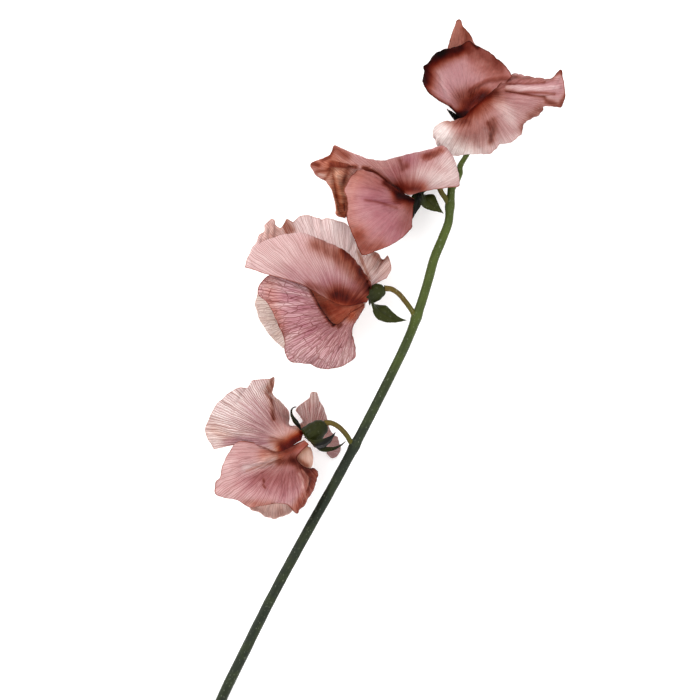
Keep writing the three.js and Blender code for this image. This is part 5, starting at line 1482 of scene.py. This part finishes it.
def leaf_material(name, first, last, speck, specks, turned, lines=20.0):
    """A green skin. turned(graph) gives how far the first green has turned to the last, specks is how clearly
    the specks show, and lines is how many faint lines there are round it."""
    material, graph, surface = new_material(name)
    place = graph.add("ShaderNodeUVMap", (), uv_map="Petal")
    values = {"Place": place, "Turned": turned(graph), "First Colour": tuple(first),
              "Last Colour": tuple(last), "Speck Colour": tuple(speck), "Specks": specks, "Lines": lines,
              "Shade": graph.held("tints", "Alpha")}
    colour = graph.group("Leaf Skin", values, "Colour")
    height = colour.node.outputs["Height"]
    normal = graph.add("ShaderNodeBump", {"Strength": 0.35, "Distance": 0.15 * MM, "Height": height})
    roughness = graph.ramp(height, 0.1, 0.6, 0.43, 0.6)
    skin = {"Base Color": colour, "Roughness": roughness, "Specular IOR Level": 0.08, "Normal": normal}
    graph.tree.links.new(graph.add("ShaderNodeBsdfPrincipled", skin), surface)
    return material


def cut_material(greens):
    """The stem's flat ends: pale pith mottled with the stalk's green."""
    material, graph, surface = new_material("Cut End")
    place = graph.add("ShaderNodeTexCoord", (), "Object")
    fibre = graph.ramp(graph.noise(place, 2500.0, 2.0), 0.35, 0.65)
    pores = graph.mix(fibre, tuple(greens.pith), tuple(greens.stalk_low))
    skin = {"Base Color": pores, "Roughness": 0.7, "Specular IOR Level": 0.3}
    graph.tree.links.new(graph.add("ShaderNodeBsdfPrincipled", skin), surface)
    return material


def walked_along(graph):
    """How far each place of a tube is from its start, along the tube."""
    return graph.split(graph.held("measures", "Vector"))[0]


def turned_between(first, last):
    """For a green skin that turns between two lengths along its tube."""
    return lambda graph: graph.ramp(walked_along(graph), first, last)


# --- Stage ------------------------------------------------


def build_table(stage):
    """A plain square table top under the spray."""
    half = stage.floor_size / 2
    mesh = bpy.data.meshes.new("table")
    corners = [(-half, -half, 0), (half, -half, 0), (half, half, 0), (-half, half, 0)]
    mesh.from_pydata(corners, [], [(0, 1, 2, 3)])
    material, graph, surface = new_material("Table")
    skin = {"Base Color": tuple(stage.floor), "Roughness": 0.8, "Specular IOR Level": 0.1,
            "Emission Color": tuple(stage.floor), "Emission Strength": stage.glow}
    graph.tree.links.new(graph.add("ShaderNodeBsdfPrincipled", skin), surface)
    mesh.materials.append(material)
    table = bpy.data.objects.new("table", mesh)
    bpy.context.scene.collection.objects.link(table)
    table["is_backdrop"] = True


def add_light(name, middle, offset, side, power):
    """A square soft light at an offset from the spray's middle that faces it and isn't itself seen."""
    light = bpy.data.lights.new(name, "AREA")
    light.energy = power
    light.size = side
    lamp = bpy.data.objects.new(name, light)
    lamp.location = np.array(middle) + offset
    lamp.rotation_euler = Vector(-np.array(offset)).to_track_quat("-Z", "Y").to_euler()
    lamp.visible_camera = False
    bpy.context.scene.collection.objects.link(lamp)


# --- Settings ---------------------------------------------


def tone(red, green, blue):
    """A colour given in the screen's 0 to 255 steps, as light."""
    steps = np.array([red, green, blue]) / 255
    light = np.where(steps <= 0.04045, steps / 12.92, ((steps + 0.055) / 1.055) ** 2.4)
    return (*light.tolist(), 1.0)


def size(name, description, millimetres):
    """A length that a user may change."""
    return bpy.props.FloatProperty(name=name, description=description, default=millimetres * MM, min=0.0,
                                   precision=5, subtype="DISTANCE", unit="LENGTH")


def colour(name, description, default):
    """A colour that a user may change."""
    return bpy.props.FloatVectorProperty(name=name, description=description, default=default, size=4,
                                         min=0.0, max=1.0, subtype="COLOR")


def amount(name, description, default):
    """A plain number that a user may change."""
    return bpy.props.FloatProperty(name=name, description=description, default=default, min=0.0)


class SweetPeaPetals(bpy.types.PropertyGroup):
    """Sizes and colours of the petals."""

    petal: size("Petal", "Thickness of a petal in its middle", 0.34)
    margin: size("Margin", "Thickness of a petal at its free edge", 0.16)
    ruffle: size("Ruffle", "Height of the waves of a fully ruffled margin", 0.9)
    ruffle_pitch: size("Ruffle pitch", "Distance between two waves of the margin", 5.5)
    crinkle: size("Crinkle", "Height of the fine crinkles", 0.11)
    crinkle_long: size("Crinkle length", "Length of a crinkle from claw to margin", 9)
    rose: colour("Rose", "Ground colour of every petal", tone(204, 171, 168))
    pale: colour("Pale", "Ground colour of pale lobes and margins", tone(242, 235, 232))
    mauve: colour("Mauve", "What the mauve glaze lets through", (0.70, 0.46, 0.56, 1))
    orange: colour("Orange", "What the orange glaze at the claws lets through", (0.84, 0.42, 0.24, 1))
    # The dark glaze is partly the petals' own dark red-brown and partly painted shade in throats and creases.
    dark: colour("Dark", "What the dark glaze of throats and edges lets through", (0.26, 0.085, 0.05, 1))
    vein: colour("Vein", "What the veins let through", (0.55, 0.43, 0.41, 1))


class SweetPeaGreens(bpy.types.PropertyGroup):
    """Sizes and colours of the stem, the flowers' stalks and the calyces."""

    pedicel: size("Stalk", "Radius of a flower's stalk", 0.82)
    top_pedicel: size("Top stalk", "Radius of the top flower's stalk where it leaves the stem", 1.35)
    calyx: size("Calyx", "Thickness of a calyx", 0.5)
    stem_low: colour("Lower stem", "Green of the stem at its cut end", tone(33, 38, 29))
    stem_high: colour("Upper stem", "Green of the stem at the flowers", tone(63, 73, 31))
    stalk_low: colour("Stalk", "Green of a stalk at the stem", tone(76, 74, 30))
    stalk_high: colour("Stalk at calyx", "Green of a stalk at its calyx", tone(80, 64, 26))
    calyx_deep: colour("Calyx", "Green of the calyx", tone(20, 22, 7))
    calyx_light: colour("Calyx light", "Green where a calyx is lighter", tone(40, 43, 13))
    speck: colour("Speck", "Colour of the fine specks", tone(168, 176, 150))
    pith: colour("Pith", "Colour of the cut end's middle", tone(196, 204, 160))
    stamen: colour("Stamens", "Colour of the filaments", tone(226, 222, 178))


class SweetPeaStage(bpy.types.PropertyGroup):
    """The table, the light and the camera."""

    floor: colour("Table", "Colour of the table", tone(250, 250, 250))
    glow: amount("Table glow", "How strongly the table itself glows, like a light box", 0.12)
    floor_size: size("Table size", "Length of the table's side", 4000)
    sky: amount("Sky", "Strength of the even light from all round", 1.44)
    key: amount("Key light", "Power of the main soft light in watts", 26)
    fill: amount("Fill light", "Power of the opposite soft light in watts", 8)
    view_width: size("View width", "How much of the table the camera sees across", 224)
    view_height: size("Camera height", "Height of the camera over the flowers", 2000)


def millimetres(settings):
    """The lengths among a group's settings, in millimetres."""
    names = [p.identifier for p in settings.bl_rna.properties if p.type == "FLOAT" and p.unit == "LENGTH"]
    return SimpleNamespace(**{name: getattr(settings, name) / MM for name in names})


def flower_place(number):
    """Where a flower's own origin lies in the frame."""
    return spray_origin() + np.array(FLOWERS[number]["at"])


def petal_colours(scene):
    """The petals' colours, under the names that they have in the group of petal tints."""
    petals = scene.sweet_pea_petals
    names = ("rose", "mauve", "pale", "orange", "dark", "vein")
    return {name.title(): getattr(petals, name) for name in names}


# --- Operators --------------------------------------------


class SWEETPEA_OT_groups(bpy.types.Operator):
    """Build the shared shader groups for veins, petal tints and green skin"""

    bl_idname = "sweetpea.groups"
    bl_label = "Shader Groups"

    def execute(self, context):
        build_forking_veins()
        build_net_veins()
        build_glaze()
        build_petal_tints()
        build_leaf_skin()
        return {"FINISHED"}


class SWEETPEA_OT_banners(bpy.types.Operator):
    """Build the four banners, the large upright petal at the back of each flower"""

    bl_idname = "sweetpea.banners"
    bl_label = "Banners"

    def execute(self, context):
        sizes = millimetres(context.scene.sweet_pea_petals)
        skin = petal_material("Banner Petal", petal_colours(context.scene), veins=46, cells=100)
        for number, flower in FLOWERS.items():
            name = f"banner_{number}"
            shell = petal_shell(flower, "banner", LOOKS[name], sizes, BANNER_GRID, seed=10 * number)
            make_piece(name, shell, flower_place(number), [skin])
        return {"FINISHED"}


class SWEETPEA_OT_wings(bpy.types.Operator):
    """Build the wings, two to a flower"""

    bl_idname = "sweetpea.wings"
    bl_label = "Wings"

    def execute(self, context):
        sizes = millimetres(context.scene.sweet_pea_petals)
        skin = petal_material("Wing Petal", petal_colours(context.scene), veins=27, cells=84)
        for number, flower in FLOWERS.items():
            for kind, grid, draw in (("wing_near", WING_GRID, 9), ("wing_far", FAR_WING_GRID, 8)):
                name = f"{kind}_{number}"
                shell = petal_shell(flower, kind, LOOKS[name], sizes, grid, seed=10 * number + draw)
                make_piece(name, shell, flower_place(number), [skin])
        return {"FINISHED"}


class SWEETPEA_OT_keels(bpy.types.Operator):
    """Build the keels and the stamens that they hold"""

    bl_idname = "sweetpea.keels"
    bl_label = "Keels and Stamens"

    def execute(self, context):
        sizes = millimetres(context.scene.sweet_pea_petals)
        greens = context.scene.sweet_pea_greens
        skin = petal_material("Keel Petal", petal_colours(context.scene), veins=31, cells=60)

        def turned(graph):
            """Hardly greener towards the tip."""
            return graph.times(walked_along(graph), 0.01)

        yellow = leaf_material("Stamen", greens.stamen, greens.stalk_high, greens.stamen, 0.0, turned)
        for number, flower in FLOWERS.items():
            name = f"keel_{number}"
            shell = keel_shell(flower, LOOKS[name], sizes, seed=10 * number + 3)
            make_piece(name, shell, flower_place(number), [skin])
            name = f"stamens_{number}"
            make_piece(name, joined(stamen_shells(flower)), flower_place(number), [yellow])
        return {"FINISHED"}


class SWEETPEA_OT_calyces(bpy.types.Operator):
    """Build the calyces, the green toothed cups behind the flowers"""

    bl_idname = "sweetpea.calyces"
    bl_label = "Calyces"

    def execute(self, context):
        greens = context.scene.sweet_pea_greens
        sizes = millimetres(greens)

        def turned(graph):
            """Darker at the cup's base, lighter towards the teeth, and darker along the midribs."""
            rib, out, _ = graph.split(graph.held("tints", "Vector"))
            cup = graph.ramp(out, 0.1, 0.5, 0.6, 1.0)
            return graph.minus(cup, graph.times(rib, 0.4))

        skin = leaf_material("Calyx", greens.calyx_deep, greens.calyx_light, greens.speck, 0.07, turned, 60.0)
        for number, flower in FLOWERS.items():
            name = f"calyx_{number}"
            shell = calyx_shell(flower, LOOKS[name], sizes, seed=10 * number + 5)
            make_piece(name, shell, flower_place(number), [skin])
        return {"FINISHED"}


class SWEETPEA_OT_stalks(bpy.types.Operator):
    """Build the stem and the flowers' stalks"""

    bl_idname = "sweetpea.stalks"
    bl_label = "Stem and Stalks"

    def execute(self, context):
        greens = context.scene.sweet_pea_greens
        sizes = millimetres(greens)
        low, high, speck = greens.stem_low, greens.stem_high, greens.speck
        stem_skin = leaf_material("Stem", low, high, speck, 0.14, turned_between(*STEM_TURNS), 14.0)
        turned = turned_between(*STALK_TURNS)
        stalk_skin = leaf_material("Stalk", greens.stalk_low, greens.stalk_high, speck, 0.2, turned, 9.0)
        top_skin = leaf_material("Top Stalk", high, high, speck, 0.2, turned, 9.0)
        cut = cut_material(greens)
        forks = [np.array(f["at"]) + f["pedicel"][0] for n, f in FLOWERS.items() if n != TOP_FLOWER]
        shell = stem_shell(STEM_RADII, forks)
        make_piece("stem", shell, spray_origin(), [stem_skin, cut])
        for number, flower in FLOWERS.items():
            shell = pedicel_shell(flower, number, sizes)
            skin = top_skin if number == TOP_FLOWER else stalk_skin
            make_piece(f"pedicel_{number}", shell, flower_place(number), [skin])
        return {"FINISHED"}


class SWEETPEA_OT_stage(bpy.types.Operator):
    """Build the pale table, the soft light and the camera that looks down on the spray"""

    bl_idname = "sweetpea.stage"
    bl_label = "Stage"

    def execute(self, context):
        scene = context.scene
        stage = scene.sweet_pea_stage
        middle = spray_origin() * MM
        build_table(stage)
        world = bpy.data.worlds.new("Studio")
        world.use_nodes = True
        background = world.node_tree.nodes["Background"]
        background.inputs["Color"].default_value = (1, 1, 1, 1)
        background.inputs["Strength"].default_value = stage.sky
        scene.world = world
        add_light("Key", middle, *KEY_LIGHT, stage.key)
        add_light("Fill", middle, *FILL_LIGHT, stage.fill)
        camera = bpy.data.cameras.new("Camera")
        camera.sensor_width = SENSOR
        camera.lens = SENSOR * stage.view_height / stage.view_width
        camera.clip_end = 20
        eye = bpy.data.objects.new("Camera", camera)
        eye.location = (middle[0], middle[1], stage.view_height + FLOWER_HEIGHT * MM)
        scene.collection.objects.link(eye)
        scene.camera = eye
        scene.view_settings.view_transform = "Standard"
        return {"FINISHED"}


class SWEETPEA_PT_spray(bpy.types.Panel):
    """The spray's settings and the steps that build it"""

    bl_label = "Sweet Pea Spray"
    bl_space_type = "VIEW_3D"
    bl_region_type = "UI"
    bl_category = "Sweet Pea"

    def draw(self, context):
        for settings in (getattr(context.scene, name) for name in SETTINGS):
            box = self.layout.box()
            for item in settings.bl_rna.properties:
                if item.identifier not in ("name", "rna_type"):
                    box.prop(settings, item.identifier)
        for step in STEPS:
            self.layout.operator(step.bl_idname)


SETTINGS = {
    "sweet_pea_petals": SweetPeaPetals,
    "sweet_pea_greens": SweetPeaGreens,
    "sweet_pea_stage": SweetPeaStage,
}
STEPS = (SWEETPEA_OT_groups, SWEETPEA_OT_banners, SWEETPEA_OT_wings, SWEETPEA_OT_keels, SWEETPEA_OT_calyces,
         SWEETPEA_OT_stalks, SWEETPEA_OT_stage)


def register():
    for settings in SETTINGS.values():
        bpy.utils.register_class(settings)
    for step in (*STEPS, SWEETPEA_PT_spray):
        bpy.utils.register_class(step)
    for name, settings in SETTINGS.items():
        setattr(bpy.types.Scene, name, bpy.props.PointerProperty(type=settings))


def unregister():
    for name in SETTINGS:
        delattr(bpy.types.Scene, name)
    for step in (SWEETPEA_PT_spray, *reversed(STEPS)):
        bpy.utils.unregister_class(step)
    for settings in SETTINGS.values():
        bpy.utils.unregister_class(settings)


def main():
    register()
    for step in STEPS:
        family, name = step.bl_idname.split(".")
        getattr(getattr(bpy.ops, family), name)()
    boxes = {"cad": CAD_BOX, "visual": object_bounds()}
    {name: [list(corner) for corner in box] for name, box in boxes.items()}


if __name__ == "__main__":
    main()
